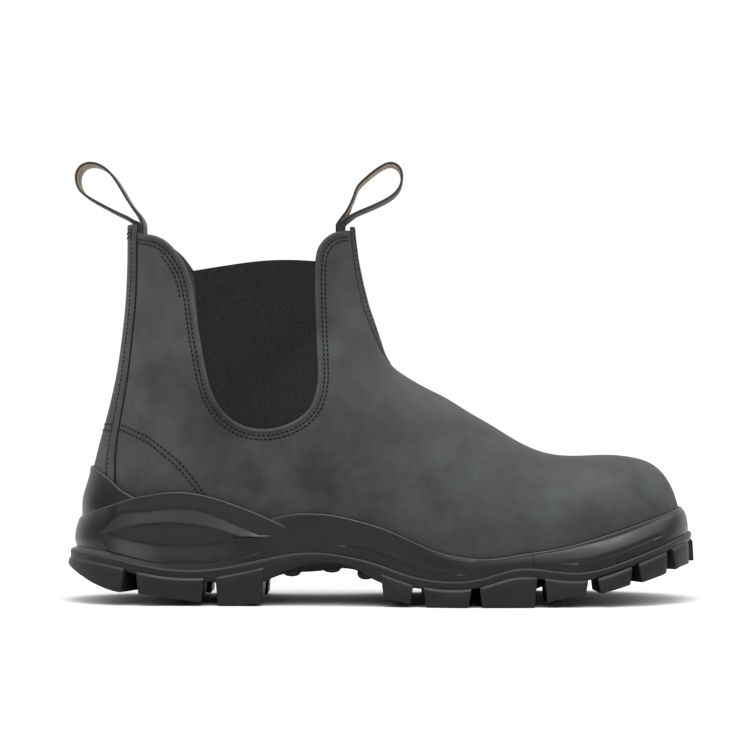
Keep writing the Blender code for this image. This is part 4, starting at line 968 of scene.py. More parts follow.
RIM_WIDTH = 0.0023
RIM_HEIGHT = 0.00095
RIM_SINK = 0.0004
RIM_STEP = 0.0012
RIM_START = 0.1130
RIM_END = 0.4470


def between(flat, start, end):
    """The part of a flat line between two shares of LENGTH."""
    return flat[(flat[:, 0] > start * LENGTH) & (flat[:, 0] < end * LENGTH)]


rim_line = offset_flat(between(edge_line, RIM_START, RIM_END), RIM_WIDTH * 0.42)
beads = [
    sweep(*evenly(*from_side(rim_line, sign), RIM_STEP), RIM_WIDTH, RIM_HEIGHT, RIM_SINK)
    for sign in (-1, 1)
]
# The rims take the lighter leather, a painted highlight on the folded edge.
rims = make_piece("rolled_edges", *together(beads), (edge_highlight_leather,))
claim(rims, "upper_leather")
print("rims: %d faces" % len(rims.data.polygons))

# %% [markdown]
# ## The elastic panels
#
# Each panel fills its notch like a tongue. Its grid runs from the notch's lowest point up both sides
# at once, so the rows bow as the panel does, and the last row is the panel's top edge. It lies a
# little lower than the leather, and its edges tuck under the rim.

# %% Two panels, one for each side
PANEL_ROWS = 60
PANEL_COLUMNS = 40
PANEL_TUCK = 0.0003
PANEL_SWELL = 0.0006
PANEL_WALL = UPPER_WALL * 0.92
# The stretch of the leather's edge that holds the panel, as shares of LENGTH.
NOTCH_START = 0.19
NOTCH_END = 0.41
# Rows lie closer at the narrow foot, and the upper ones take on the top edge's bow.
ROW_CROWDING = 1.3
BOW_FROM = 0.6


def make_panel(name, sign):
    top = line(GORE_TOP, LENGTH, COLLAR_HEIGHT)
    inside = [p for p in between(edge_line, NOTCH_START, NOTCH_END) if p[1] < top(p[0])]
    notch = offset_flat(np.array(inside), PANEL_TUCK)
    low = int(np.argmin(notch[:, 1]))
    back, front = notch[: low + 1][::-1], notch[low:]

    def along(arm, share):
        reach = travelled(arm)
        return np.array([np.interp(share * reach[-1], reach, arm[:, i]) for i in (0, 1)])

    outer, inner = [], []
    for i in range(1, PANEL_ROWS + 1):
        share = (i / PANEL_ROWS) ** ROW_CROWDING
        left, right = along(back, share), along(front, share)
        for j in range(PANEL_COLUMNS + 1):
            s = j / PANEL_COLUMNS
            x, z = mix(left, right, s)
            arch = top(x) - mix(left[1], right[1], s)
            z += arch * smooth((share - BOW_FROM) / (1 - BOW_FROM))
            spot, normal = throw(skin, (x, sign * SIDE_START, z), (0, -sign, 0))
            swell = PANEL_SWELL * math.sin(math.pi * s) * math.sin(math.pi * min(share, 0.98))
            outer.append(spot + normal * (swell - GORE_RECESS))
            inner.append(spot - normal * PANEL_WALL)
    points, faces = closed_sheet(outer, inner, PANEL_ROWS, PANEL_COLUMNS + 1)
    panel = make_piece(name, points, faces, (elastic,))
    claim(panel, "gore_elastic", name.replace("elastic_", "gore_"))
    return panel


for name, sign in (("elastic_lateral", -1), ("elastic_medial", 1)):
    panel = make_panel(name, sign)
    print(name, "%d faces" % len(panel.data.polygons))

# %% [markdown]
# ## The strips over the seams
#
# Two strips of the same leather cover the seams at the back and the front of the shaft. A strip is
# laid like tape: its middle line follows the boot, and its edges are thinned with a knife so that they
# lie flush. Seen from behind, each point of the strip is thrown forwards onto the last.

# %% Strips laid over the back and front seams
# The edge is thinned to a share of the wall, over a width. The lower end of the front strip fades out.
EDGE_THIN = 0.0014
EDGE_SHARE = 0.18
END_SHARE = 0.25
# An even number of columns, because a ray at y = 0 slips through the last's back seam.
ACROSS = np.sin(np.linspace(-0.5, 0.5, 42) * math.pi)


def strip_height(share_across, half):
    """The strip's thickness: full in the middle, thinned at its edge."""
    room = half * (1 - abs(share_across))
    return STRIP_WALL * (EDGE_SHARE + (1 - EDGE_SHARE) * smooth(room / EDGE_THIN))


def make_strip(name, node, levels, half_at, origin_x, direction, fade=0.0):
    """A strip over a seam, level by level. Fade is the length over which its lower end thins out."""
    outer, inner = [], []
    for level in levels:
        half = half_at(level)
        for share in ACROSS:
            spot, normal = throw(skin, (origin_x, share * half, level), (direction, 0, 0))
            wall = GAP + strip_height(share, half)
            if fade:
                wall *= mix(END_SHARE, 1.0, smooth((level - levels[0]) / fade))
            outer.append(spot + normal * wall)
            inner.append(spot - normal * GAP)
    points, faces = closed_sheet(outer, inner, len(levels), len(ACROSS))
    strip = make_piece(name, points, faces, (leather,))
    claim(strip, "strip_leather", node)
    return strip


back_rows = np.array(BACK_STRIP_EDGE)[::-1]
back_width = spline(back_rows[:, 0] * COLLAR_HEIGHT, back_rows[:, 1] * BACK_STRIP_WIDTH)


def back_half(z):
    return back_width(min(z, COLLAR_HEIGHT))


BACK_STRIP_TOP = 0.9985 * COLLAR_HEIGHT
BACK_STRIP_LOW = 0.270 * COLLAR_HEIGHT
back_levels = np.linspace(BACK_STRIP_LOW, BACK_STRIP_TOP, 90)
strip = make_strip("back_strip_leather", "back_strip", back_levels, back_half, BACK_START, 1)
print("back strip: %d faces" % len(strip.data.polygons))

front_rows = np.array(FRONT_STRIP_EDGE)[::-1]
front_width = spline(front_rows[:, 0] * COLLAR_HEIGHT, front_rows[:, 1] * FRONT_STRIP_WIDTH)
front_levels = np.linspace(front_rows[0, 0] * COLLAR_HEIGHT, FRONT_STRIP_TOP * COLLAR_HEIGHT, 60)
FRONT_FADE = 0.012
HALF_LEAST = 0.0004


def front_half(z):
    return max(front_width(z), HALF_LEAST)


strip = make_strip(
    "front_strip_leather", "front_strip", front_levels, front_half, FRONT_START, -1, FRONT_FADE,
)
print("front strip: %d faces" % len(strip.data.polygons))

# %% [markdown]
# ## Stitches
#
# About eight hundred stitches hold the boot together, and each is the same short piece of thread.
# That is work for Geometry Nodes: a line is cut into steps one stitch long, a small lozenge of thread
# is set on each step along the line, and all are made real. The pitch, the length and the thickness of
# a stitch are inputs of the tree, as they are settings of a sewing machine.

# %% A node tree that sews
STITCH_PITCH = 0.00225
STITCH_LENGTH = 0.00180
THREAD_THICK = 0.00080


def sewing_tree():
    tree = bpy.data.node_groups.new("sewing", "GeometryNodeTree")
    for name, way, kind in (
        ("Lines", "INPUT", "Geometry"), ("Pitch", "INPUT", "Float"), ("Length", "INPUT", "Float"),
        ("Thickness", "INPUT", "Float"), ("Thread", "INPUT", "Material"), ("Stitches", "OUTPUT", "Geometry"),
    ):
        tree.interface.new_socket(name, in_out=way, socket_type="NodeSocket" + kind)
    nodes = tree.nodes
    start, end = nodes.new("NodeGroupInput"), nodes.new("NodeGroupOutput")
    curves = nodes.new("GeometryNodeMeshToCurve")
    steps = nodes.new("GeometryNodeCurveToPoints")
    steps.mode = "LENGTH"
    ball = nodes.new("GeometryNodeMeshUVSphere")
    for name, value in (("Segments", 7), ("Rings", 5), ("Radius", 0.5)):
        ball.inputs[name].default_value = value
    size = nodes.new("ShaderNodeCombineXYZ")
    place = nodes.new("GeometryNodeInstanceOnPoints")
    real = nodes.new("GeometryNodeRealizeInstances")
    paint = nodes.new("GeometryNodeSetMaterial")
    for giver, output, taker, entry in (
        (start, "Lines", curves, "Mesh"),
        (curves, "Curve", steps, "Curve"),
        (start, "Pitch", steps, "Length"),
        (steps, "Points", place, "Points"),
        (ball, "Mesh", place, "Instance"),
        (steps, "Rotation", place, "Rotation"),
        (start, "Thickness", size, "X"),
        (start, "Thickness", size, "Y"),
        (start, "Length", size, "Z"),
        (size, "Vector", place, "Scale"),
        (place, "Instances", real, "Geometry"),
        (real, "Geometry", paint, "Geometry"),
        (start, "Thread", paint, "Material"),
        (paint, "Geometry", end, "Stitches"),
    ):
        tree.links.new(giver.outputs[output], taker.inputs[entry])
    return tree


sewing = sewing_tree()


def sew(name, rows):
    """One mesh of stitches along lines of points in the heel's measure."""
    mesh = bpy.data.meshes.new(name)
    points, edges = [], []
    for row in rows:
        first = len(points)
        points += [tuple(p) for p in row + TO_FRAME]
        edges += [(first + i, first + i + 1) for i in range(len(row) - 1)]
    mesh.from_pydata(points, edges, [])
    obj = link(name, mesh)
    maker = obj.modifiers.new("sewing", "NODES")
    maker.node_group = sewing
    sockets = {item.name: item.identifier for item in sewing.interface.items_tree if item.in_out == "INPUT"}
    settings = {"Pitch": STITCH_PITCH, "Length": STITCH_LENGTH, "Thickness": THREAD_THICK}
    for label, value in {**settings, "Thread": thread}.items():
        maker[sockets[label]] = value
    return made_plain(obj)


# %% Where the stitches run
SEW_HEIGHT = 0.00005
SEW_FINE = 0.001
# Two rows go round the gore, on the leather. A third, short one lies beyond them, behind its top.
GORE_ROWS = (0.0030, 0.0048)
GORE_ROW_START = 0.110
GORE_ROW_END = 0.4455
EAR_ROW = 0.0067
EAR_START = 0.155
EAR_END = 0.190
EAR_LOW = 0.80
# The counter's seam on the side of the heel is a pair of rows.
COUNTER_SEAM = (
    (0.0935, 0.4660), (0.1008, 0.4610), (0.1219, 0.4460), (0.1427, 0.4280), (0.1611, 0.4042),
    (0.1828, 0.3746), (0.2007, 0.3417), (0.2152, 0.3104), (0.2290, 0.2760),
)
COUNTER_GAP = 0.0023


def stitch_row(points, normals):
    """A row for sewing: evenly spaced points a hair above the leather."""
    spots, ups = evenly(points, normals, SEW_FINE)
    return spots + ups * SEW_HEIGHT


ear = between(offset_flat(edge_line, EAR_ROW), EAR_START, EAR_END)
counter = sampled(COUNTER_SEAM, 60)
flats = [between(offset_flat(edge_line, distance), GORE_ROW_START, GORE_ROW_END) for distance in GORE_ROWS]
flats.append(ear[ear[:, 1] > EAR_LOW * COLLAR_HEIGHT])
flats += [offset_flat(counter, distance) for distance in (0.0, COUNTER_GAP)]
rows = [stitch_row(*from_side(flat, sign)) for sign in (-1, 1) for flat in flats]
print("stitch rows:", len(rows))
upper_stitches = sew("upper_stitches", rows)
claim(upper_stitches, "upper_leather")

# %% Stitches on the strips
# How far the rows lie inside the strips' edges, and how far they stop short of the strips' ends.
STRIP_INSET = 0.0019
FRONT_INSET = 0.0014
BAR_INSET = 0.003
BACK_ROW_SHORT = 0.004
FRONT_ROW_SHORT = 0.014
ROW_TOP = 0.985 * COLLAR_HEIGHT
# Short rows across the back strip, as shares of COLLAR_HEIGHT.
BAR_ROWS = (0.4690, 0.4530, 0.9780, 0.9660)
strip_skin = skin_tree(GAP + STRIP_WALL)
rows = []
for sign in (-1, 1):
    levels = np.linspace(BACK_STRIP_LOW + BACK_ROW_SHORT, ROW_TOP, 120)
    starts = [(BACK_START, sign * (back_half(z) - STRIP_INSET), z) for z in levels]
    rows.append(stitch_row(*thrown(strip_skin, starts, (1, 0, 0))))
    levels = [z for z in front_levels if front_levels[0] + FRONT_ROW_SHORT < z < ROW_TOP]
    starts = [(FRONT_START, sign * (front_width(z) - FRONT_INSET), z) for z in levels]
    rows.append(stitch_row(*thrown(strip_skin, starts, (-1, 0, 0))))
for height in BAR_ROWS:
    z = height * COLLAR_HEIGHT
    starts = [(BACK_START, y, z) for y in np.linspace(-1, 1, 40) * (back_half(z) - BAR_INSET)]
    rows.append(stitch_row(*thrown(strip_skin, starts, (1, 0, 0))))
strip_stitches = sew("strip_stitches", rows)
claim(strip_stitches, "strip_leather")
print("stitches: %d faces" % (len(upper_stitches.data.polygons) + len(strip_stitches.data.polygons)))

# %% A painted shadow along the back strip's edges: a dark bead where the seam's shade falls
SHADOW_LINE_WIDTH = 0.0012
SHADOW_LINE_HEIGHT = 0.0007
SHADOW_LINE_SINK = 0.0003
SHADOW_LINE_OUT = 0.0003
# The dark bead is painted shadow: it stands where the strip's raised edge shades the leather beside it.
beads = []
for sign in (-1, 1):
    levels = np.linspace(BACK_STRIP_LOW, 0.990 * COLLAR_HEIGHT, 140)
    starts = [(BACK_START, sign * (back_half(z) + SHADOW_LINE_OUT), z) for z in levels]
    beads.append(sweep(*thrown(skin, starts, (1, 0, 0)), SHADOW_LINE_WIDTH, SHADOW_LINE_HEIGHT, SHADOW_LINE_SINK, sides=8))
seam_shadows = make_piece("back_seam_shadows", *together(beads), (thread,))
claim(seam_shadows, "strip_leather")
print("back seams: %d faces" % len(seam_shadows.data.polygons))

# %% [markdown]
# ## The footbed
#
# Inside, the foot stands on a cloth-covered footbed, dished under the heel. It is seen only through
# the collar, but an empty boot is looked into. It keeps the solid's outline, with the edge softened.

# %% The footbed from its solid
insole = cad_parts["insole"]
dress = insole.copy()
dress.data = insole.data.copy()
dress.name = "footbed"
bpy.context.scene.collection.objects.link(dress)
merged = bmesh.new()
merged.from_mesh(dress.data)
bmesh.ops.remove_doubles(merged, verts=merged.verts, dist=1e-5)
merged.to_mesh(dress.data)
merged.free()
dress.data.materials.clear()
dress.data.materials.append(footbed)
round_edges(dress, 0.0006, 50, 35)
claim(dress, "footbed", "insole")
print("footbed: %d faces" % len(dress.data.polygons))

# %% [markdown]
# ## The pull loops
#
# A loop is one length of flat woven tape, bent double and sewn in at the collar. It stands up as a bow
# because the tape is stiff. Its outside is dark and its inside is undyed. The path is the one that the
# solid has; the tape gets a slight crown, and a UV map in metres carries the weave along it.

# %% The paths of the tape
# The pull loops' side outlines, in metres from where the inner tail passes the collar. Each rises,
# turns over at the top and comes back down over the collar's edge to the second tail.
BACK_LOOP = (
    (0.0000, 0.0000), (-0.0003, 0.0022), (-0.0016, 0.0052), (-0.0038, 0.0086), (-0.0062, 0.0130),
    (-0.0089, 0.0176), (-0.0114, 0.0216), (-0.0143, 0.0253), (-0.0186, 0.0286), (-0.0233, 0.0299),
    (-0.0276, 0.0288), (-0.0302, 0.0252), (-0.0303, 0.0210), (-0.0286, 0.0168), (-0.0255, 0.0140),
    (-0.0205, 0.0109), (-0.0155, 0.0080), (-0.0105, 0.0053), (-0.0065, 0.0033), (-0.0036, 0.0016),
    (-0.0019, 0.0007), (-0.0015, -0.0010),
)
FRONT_LOOP = (
    (0.0000, 0.0000), (0.0015, 0.0026), (0.0035, 0.0063), (0.0046, 0.0100), (0.0060, 0.0144),
    (0.0078, 0.0186), (0.0113, 0.0223), (0.0148, 0.0253), (0.0190, 0.0282), (0.0239, 0.0299),
    (0.0276, 0.0281), (0.0291, 0.0228), (0.0274, 0.0174), (0.0228, 0.0131), (0.0186, 0.0107),
    (0.0140, 0.0084), (0.0095, 0.0063), (0.0060, 0.0042), (0.0036, 0.0022), (0.0019, 0.0006),
    (0.0015, -0.0010),
)
# The tails curl round the shaft: how far their edges bend, and over what height that fades.
LOOP_FLAT = 0.014
BACK_CURL = 0.0019
FRONT_CURL = -0.0026
TAPE_STEPS = 96
TAIL_STEPS = 6
TAPE_ACROSS = (-1.0, -0.92, -0.6, -0.2, 0.2, 0.6, 0.92, 1.0)
TAPE_EDGE = 0.45
print("path points: %d and %d" % (len(BACK_LOOP), len(FRONT_LOOP)))

# %% Webbing along a path
def front_x(z):
    """Where the shaft's front line stands at a height."""
    marks = np.linspace(HEEL_END, FAN_END, 60)
    xs = [shaft["front_x"](p - HEEL_END) for p in marks]
    zs = [shaft["front_z"](p - HEEL_END) for p in marks]
    return float(np.interp(z, zs, xs))


def make_loop(name, outline, tail_x, curl):
    bow = curve_through(np.array(outline), TAPE_STEPS) + (tail_x, COLLAR_HEIGHT)
    low = COLLAR_HEIGHT - WEBBING_TAIL
    rise = [(bow[0][0], mix(low, COLLAR_HEIGHT, k / TAIL_STEPS)) for k in range(TAIL_STEPS)]
    fall = [(bow[-1][0], mix(bow[-1][1], low, (k + 1) / TAIL_STEPS)) for k in range(TAIL_STEPS)]
    path = np.array([*rise, *bow, *fall])
    run, along = heading(path), travelled(path)
    side = np.stack([-run[:, 1], run[:, 0]], axis=1) * WEBBING_WALL / 2
    half = WEBBING_WIDTH / 2
    columns = len(TAPE_ACROSS)
    points, marks = [], []
    for i, (spot, wall) in enumerate(zip(path, side)):
        turn = curl * smooth(1 - (spot[1] - COLLAR_HEIGHT) / LOOP_FLAT)
        for k in (1, -1):
            for share in TAPE_ACROSS[::k]:
                thick = TAPE_EDGE if abs(share) == 1 else 1.0
                bend = turn * abs(share)
                x = spot[0] + k * wall[0] * thick + bend
                points.append((x, share * half, spot[1] + k * wall[1] * thick))
                marks.append((along[i], share * half))
    ring = 2 * columns
    faces = band(ring, len(path))
    undyed = 0 if curl > 0 else columns
    indices = [1 if 0 < j - undyed < columns - 2 else 0 for j in range(ring)] * (len(path) - 1)
    for first in (0, len(points) - ring):
        for j in range(columns - 1):
            faces.append((first + j, first + j + 1, first + ring - 2 - j, first + ring - 1 - j))
            indices.append(0)
    loop = make_piece(name, points, faces, (webbing_dark, webbing_tan), indices=indices, weld=1e-7, sharp=60)
    paint = loop.data.uv_layers.new(name="tape")
    spots = {tuple(np.round(np.asarray(p) + TO_FRAME, 6)): m for p, m in zip(points, marks)}
    for corner in loop.data.loops:
        where = tuple(round(c, 6) for c in loop.data.vertices[corner.vertex_index].co)
        paint.data[corner.index].uv = spots.get(where, (0, 0))
    claim(loop, "loop_webbing", name.replace("webbing_loop", "pull_loop"))
    return loop


room = UPPER_WALL + 2 * GAP + 1.5 * WEBBING_WALL + TAIL_CLEARANCE
make_loop("webbing_loop_back", BACK_LOOP, back_x(COLLAR_HEIGHT) + room, BACK_CURL)
make_loop("webbing_loop_front", FRONT_LOOP, front_x(COLLAR_HEIGHT) - room, FRONT_CURL)
print("loops: two, %.0f mm wide" % (1000 * WEBBING_WIDTH))

# %% [markdown]
# ## The sole's outline
#
# The sole is measured on rays that stand square to its edge: a fan round the heel, a run along each
# side and a fan round the toe. On each ray a side profile is drawn, and the profiles are joined.

# %% Lines of the sole
# The sole's edge at the parting line, measured along rays from a spine: a fan behind the heel's
# pivot, square rays along the side, and a fan ahead of the toe's pivot. Rows give the ray's place
# from heel back (0) to toe tip (1) and its reach as shares of the width named in the row.
SOLE_COLUMNS = "place size lateral medial".split()
SOLE_ROWS = (
    (0.000, SOLE_HEEL_WIDTH, 0.532, 0.532),
    (0.065, SOLE_HEEL_WIDTH, 0.522, 0.522),
    (0.130, SOLE_HEEL_WIDTH, 0.510, 0.508),
    (0.195, SOLE_HEEL_WIDTH, 0.502, 0.498),
    (0.264, SOLE_HEEL_WIDTH, 0.502, 0.490),
    (0.347, SOLE_HEEL_WIDTH, 0.508, 0.472),
    (0.430, SOLE_HEEL_WIDTH, 0.535, 0.470),
    (0.500, SOLE_BALL_WIDTH, 0.438, 0.388),
    (0.569, SOLE_BALL_WIDTH, 0.486, 0.448),
    (0.624, SOLE_BALL_WIDTH, 0.507, 0.482),
    (0.679, SOLE_BALL_WIDTH, 0.512, 0.490),
    (0.735, SOLE_BALL_WIDTH, 0.508, 0.478),
    (0.790, SOLE_BALL_WIDTH, 0.502, 0.462),
    (0.842, SOLE_BALL_WIDTH, 0.490, 0.452),
    (0.921, SOLE_BALL_WIDTH, 0.478, 0.458),
    (1.000, SOLE_BALL_WIDTH, 0.478, 0.478),
)
# Lines along the sole's side: place as a share of LENGTH, height in shares of HEEL_SEAT.
PARTING_LINE = (
    (0.000, 0.778), (0.040, 0.747), (0.090, 0.676), (0.140, 0.574), (0.190, 0.517), (0.230, 0.524),
    (0.300, 0.640), (0.350, 0.737), (0.395, 0.769), (0.440, 0.722), (0.490, 0.615), (0.540, 0.453),
    (0.580, 0.382), (0.630, 0.382), (0.660, 0.442), (0.695, 0.539), (0.725, 0.556), (0.760, 0.519),
    (0.795, 0.493), (0.835, 0.549), (0.880, 0.686), (0.930, 0.849), (0.970, 0.976), (1.000, 1.031),
)
PLATE_LINE = (
    (0.000, 0.560), (0.100, 0.480), (0.200, 0.330), (0.270, 0.330), (0.320, 0.350), (0.345, 0.465),
    (0.366, 0.545), (0.398, 0.610), (0.420, 0.620), (0.443, 0.582), (0.463, 0.500), (0.490, 0.360),
    (0.540, 0.270), (0.620, 0.240), (0.680, 0.330), (0.730, 0.390), (0.790, 0.350), (0.850, 0.470),
    (0.900, 0.620), (0.950, 0.780), (1.000, 0.900),
)
TREAD_LINE = (
    (0.000, 0.540), (0.010, 0.500), (0.024, 0.430), (0.053, 0.300), (0.082, 0.210), (0.104, 0.180),
    (0.120, 0.165), (0.226, 0.045), (0.241, 0.000), (0.265, 0.000), (0.490, 0.120), (0.545, 0.050),
    (0.557, 0.000), (0.737, 0.000), (0.750, 0.095), (0.809, 0.166), (0.830, 0.194), (0.872, 0.286),
    (0.893, 0.338), (0.933, 0.428), (0.950, 0.490), (0.965, 0.535), (1.000, 0.580),
)
WING_TOP = (
    (0.000, 2.016), (0.036, 2.001), (0.050, 1.945), (0.074, 1.813), (0.095, 1.656), (0.117, 1.549),
    (0.150, 1.397), (0.200, 1.214), (0.230, 1.092),
)
HEEL_WAVE_TOP = (
    (0.000, 1.234), (0.033, 1.265), (0.065, 1.387), (0.092, 1.478), (0.117, 1.549), (0.148, 1.606),
    (0.182, 1.637), (0.213, 1.612), (0.240, 1.551), (0.266, 1.474), (0.295, 1.373), (0.325, 1.253),
    (0.355, 1.123), (0.380, 1.011), (0.400, 0.935), (0.430, 0.849),
)
FORE_WAVE_TOP = (
    (0.000, 1.102), (0.200, 1.102), (0.260, 1.113), (0.295, 1.168), (0.325, 1.245), (0.357, 1.316),
    (0.390, 1.331), (0.428, 1.300), (0.463, 1.224), (0.495, 1.138), (0.526, 1.021), (0.556, 0.894),
    (0.590, 0.772), (0.630, 0.701), (0.660, 0.689), (0.700, 0.737), (0.730, 0.778), (0.770, 0.838),
    (0.806, 0.917), (0.840, 1.006), (0.875, 1.104), (0.908, 1.200), (0.940, 1.295), (0.975, 1.377),
    (1.000, 1.397),
)
# Two moulded grooves on each side of the midsole, in the same shares.
GROOVE_LINES = (
    ((0.418, 0.892), (0.480, 0.812), (0.517, 0.680), (0.554, 0.544), (0.590, 0.483), (0.636, 0.473)),
    ((0.769, 0.640), (0.805, 0.633), (0.839, 0.712), (0.872, 0.808), (0.905, 0.916), (0.945, 1.035)),
)
print("lines along the sole's side: 6, and %d grooves" % len(GROOVE_LINES))

# %% Where the lugs and ribs stand
# Edge lugs of one side: start and end as shares of LENGTH. The last one meets its twin at the toe.
EDGE_LUGS = (
    (0.122, 0.226), (0.243, 0.318), (0.497, 0.546), (0.561, 0.634), (0.646, 0.734),
    (0.745, 0.812), (0.826, 0.879), (0.889, 0.936), (0.946, 0.976),
)
HEEL_LUG_END = 0.104
TOE_LUG_START = 0.9865
# Lugs between the edge rows: centre x, offset from the spine, length and width, as shares of LENGTH.
MIDDLE_LUGS = (
    (0.165, 0.000, 0.060, 0.060), (0.265, 0.000, 0.050, 0.070), (0.585, 0.000, 0.040, 0.075),
    (0.655, -0.038, 0.045, 0.045), (0.655, 0.038, 0.045, 0.045), (0.725, 0.000, 0.045, 0.075),
    (0.795, -0.032, 0.042, 0.040), (0.795, 0.032, 0.042, 0.040), (0.862, 0.000, 0.036, 0.055),
)
MIDDLE_LUG_CORNERS = (
    (-0.5, -0.35), (-0.25, -0.5), (0.5, -0.35), (0.5, 0.35), (-0.25, 0.5), (-0.5, 0.35),
)
# Ribs across the arch: place as a share of LENGTH, and the tip's height in shares of HEEL_SEAT. The
# plate bellies down between them round ARCH_MIDDLE, over a stretch of ARCH_SPAN to each side.
ARCH_RIBS = ((0.359, 0.395), (0.421, 0.450), (0.474, 0.350))
ARCH_RIB_LENGTH = 0.0085
ARCH_RIB_WIDTH = 0.060
ARCH_MIDDLE = 0.400
ARCH_SPAN = 0.085
ARCH_BELLY = 0.0045
# How far forward the wing and the heel wave reach, as shares of LENGTH.
WING_END = 0.225
HEEL_WAVE_END = 0.400
print("lugs: %d along each edge, %d in the middle" % (len(EDGE_LUGS), len(MIDDLE_LUGS)))

# %% Rays from the spine to the sole's edge
parting_z = line(PARTING_LINE, LENGTH, HEEL_SEAT)
plate_z = line(PLATE_LINE, LENGTH, HEEL_SEAT)
tread_z = straight_line(TREAD_LINE, LENGTH, HEEL_SEAT)
wing_top = line(WING_TOP, LENGTH, HEEL_SEAT)
heel_wave_top = line(HEEL_WAVE_TOP, LENGTH, HEEL_SEAT)
fore_wave_top = line(FORE_WAVE_TOP, LENGTH, HEEL_SEAT)
HEEL_FAN = HEEL_PIVOT * math.pi / 2
TOE_FAN = (LENGTH - TOE_PIVOT) * math.pi / 2
SIDE_RUN = HEEL_FAN + TOE_PIVOT - HEEL_PIVOT + TOE_FAN


def sole_reach_splines():
    table = {name: [row[i] for row in SOLE_ROWS] for i, name in enumerate(SOLE_COLUMNS)}
    return {
        side: spline(table["place"], [v * s for v, s in zip(table[side], table["size"])])
        for side in ("lateral", "medial")
    }


sole_reach = sole_reach_splines()


def ray(place):
    """Start, direction and the sole's reach of the ray at place: -1 to 1, from the toe tip along the
    lateral side to the heel's back (0) and along the medial side to the toe tip again."""
    run = abs(place) * SIDE_RUN
    if run < HEEL_FAN:
        x, angle = HEEL_PIVOT, math.pi - run / HEEL_FAN * math.pi / 2
    elif run < SIDE_RUN - TOE_FAN:
        x, angle = HEEL_PIVOT + run - HEEL_FAN, math.pi / 2
    else:
        x, angle = TOE_PIVOT, (SIDE_RUN - run) / TOE_FAN * math.pi / 2
    side = "lateral" if place < 0 else "medial"
    direction = np.array((math.cos(angle), math.copysign(math.sin(angle), place), 0))
    return np.array((x, swing(x), 0)), direction, sole_reach[side](abs(place))


def on_ray(place, reach, z):
    start, direction, _ = ray(place)
    point = start + direction * reach
    point[2] = z
    return point


def edge_x(place, grow=0.0):
    start, direction, reach = ray(place)
    return float((start + direction * (reach + grow))[0])


def place_at(x, sign):
    """The ray whose end at the sole's edge lies at x, on one side."""
    low, high = 0.0, 1.0
    for _ in range(40):
        middle = (low + high) / 2
        low, high = (middle, high) if edge_x(sign * middle) < x else (low, middle)
    return sign * low


print("round one side of the sole: %.0f mm" % (1000 * SIDE_RUN))

# %% Where the sole meets the leather
# Rays start well outside the sole's edge, and no lower than a little above the seat.
RAY_FAR = 1.6
OVER_SEAT = 0.0015
# The parting surface lies low inside this share of the reach, and has risen this much further out.
LOW_INSIDE = 0.72
RISE_WIDTH = 0.22


def seat_under(x):
    """The seat's height at x, held to the stretch that the foot covers."""
    return seat_z(min(max(x, 0.05 * LENGTH), 0.96 * LENGTH))


def skin_reach(place, z):
    """How far the leather reaches along a ray at a height."""
    start, direction, reach = ray(place)
    far = Vector(start + direction * reach * RAY_FAR)
    far.z = max(z, seat_under(edge_x(place)) + OVER_SEAT)
    hit, _, _, distance = skin.ray_cast(far, Vector(-direction))
    return reach * RAY_FAR - distance if hit else reach - LIP_WALL


def lip_on(place, top_of, wall):
    """The lip of a wave on one ray: how far out it lies, and the height its line has there."""
    start, direction, reach = ray(place)
    lip = reach
    for _ in range(4):
        top = top_of(float(start[0] + direction[0] * lip))
        lip = skin_reach(place, top) + wall
    return lip, top


def parting_height(x, share):
    """The parting surface: it follows the side's line at the rim and lies lower inside."""
    inner = min(parting_z(x), seat_under(x) - PARTING_DROP)
    return mix(inner, parting_z(x), smooth((share - LOW_INSIDE) / RISE_WIDTH))


def plate_bottom(x, share):
    """The underside of the outsole's plate, which bellies down across the arch."""
    belly = ARCH_BELLY * smooth((1 - share) / 0.25) * bump(x / LENGTH, ARCH_MIDDLE, ARCH_SPAN)
    return min(plate_z(x) - belly, parting_height(x, share) - PLATE_WALL)


# %% [markdown]
# ## The midsole
#
# The midsole is one moulding that looks like three: a wing at the back of the heel, a long wave over
# it that runs forward into the waist, and a lower wave that carries on round the toe. Each is drawn as
# a ring of profiles with a rounded lip, so that light runs along the lip as it does on the real
# rubber. The waves overlap, and what lies behind the heel wave draws back a little, so that it
# doesn't come through the dish.

# %% Rings of profiles
LIP_ROUND = 0.0011
LIP_BACK = 0.0045
LIP_DROP = 0.004


def lip_arc(edge, top):
    """Reach and height of a rounded lip, from its face over the top and down behind."""
    arc = []
    for turn in (0, 25, 50, 75, 100, 125):
        a = math.radians(turn)
        arc.append((edge + LIP_ROUND * (math.cos(a) - 1), top + LIP_ROUND * (math.sin(a) - 1)))
    return [*arc, (edge - LIP_BACK, top - LIP_DROP)]


def ring_of(name, sections, joined):
    """A band from profiles that are closed in themselves, joined round the boot or capped at its ends."""
    count = len(sections[0])
    points = [p for section in sections for p in section]
    faces = band(count, len(sections), joined) + ([] if joined else caps(count, len(points)))
    return make_piece(name, points, faces, (midsole_skin,), sharp=50)


# %% Grooves in the fore wave, and its tuck behind the heel wave
GROOVE_WIDTH = 0.0010
GROOVE_DEPTH = 0.00055
GROOVE_SHAPE = ((-0.55, 0.0), (-0.25, 1.0), (0.2, 0.85), (0.8, 0.42), (1.4, 0.12), (2.0, 0.0))
GROOVE_FADE = 0.010
MOULD_LINE = 0.729
# What lies behind the heel wave starts to draw back this far below the wave's top, over this height,
# and no longer does so ahead of this share of LENGTH.
TUCK_DEPTH = 0.0045
TUCK_BELOW = 0.0012
TUCK_EASE = 0.0025
TUCK_END = 0.24


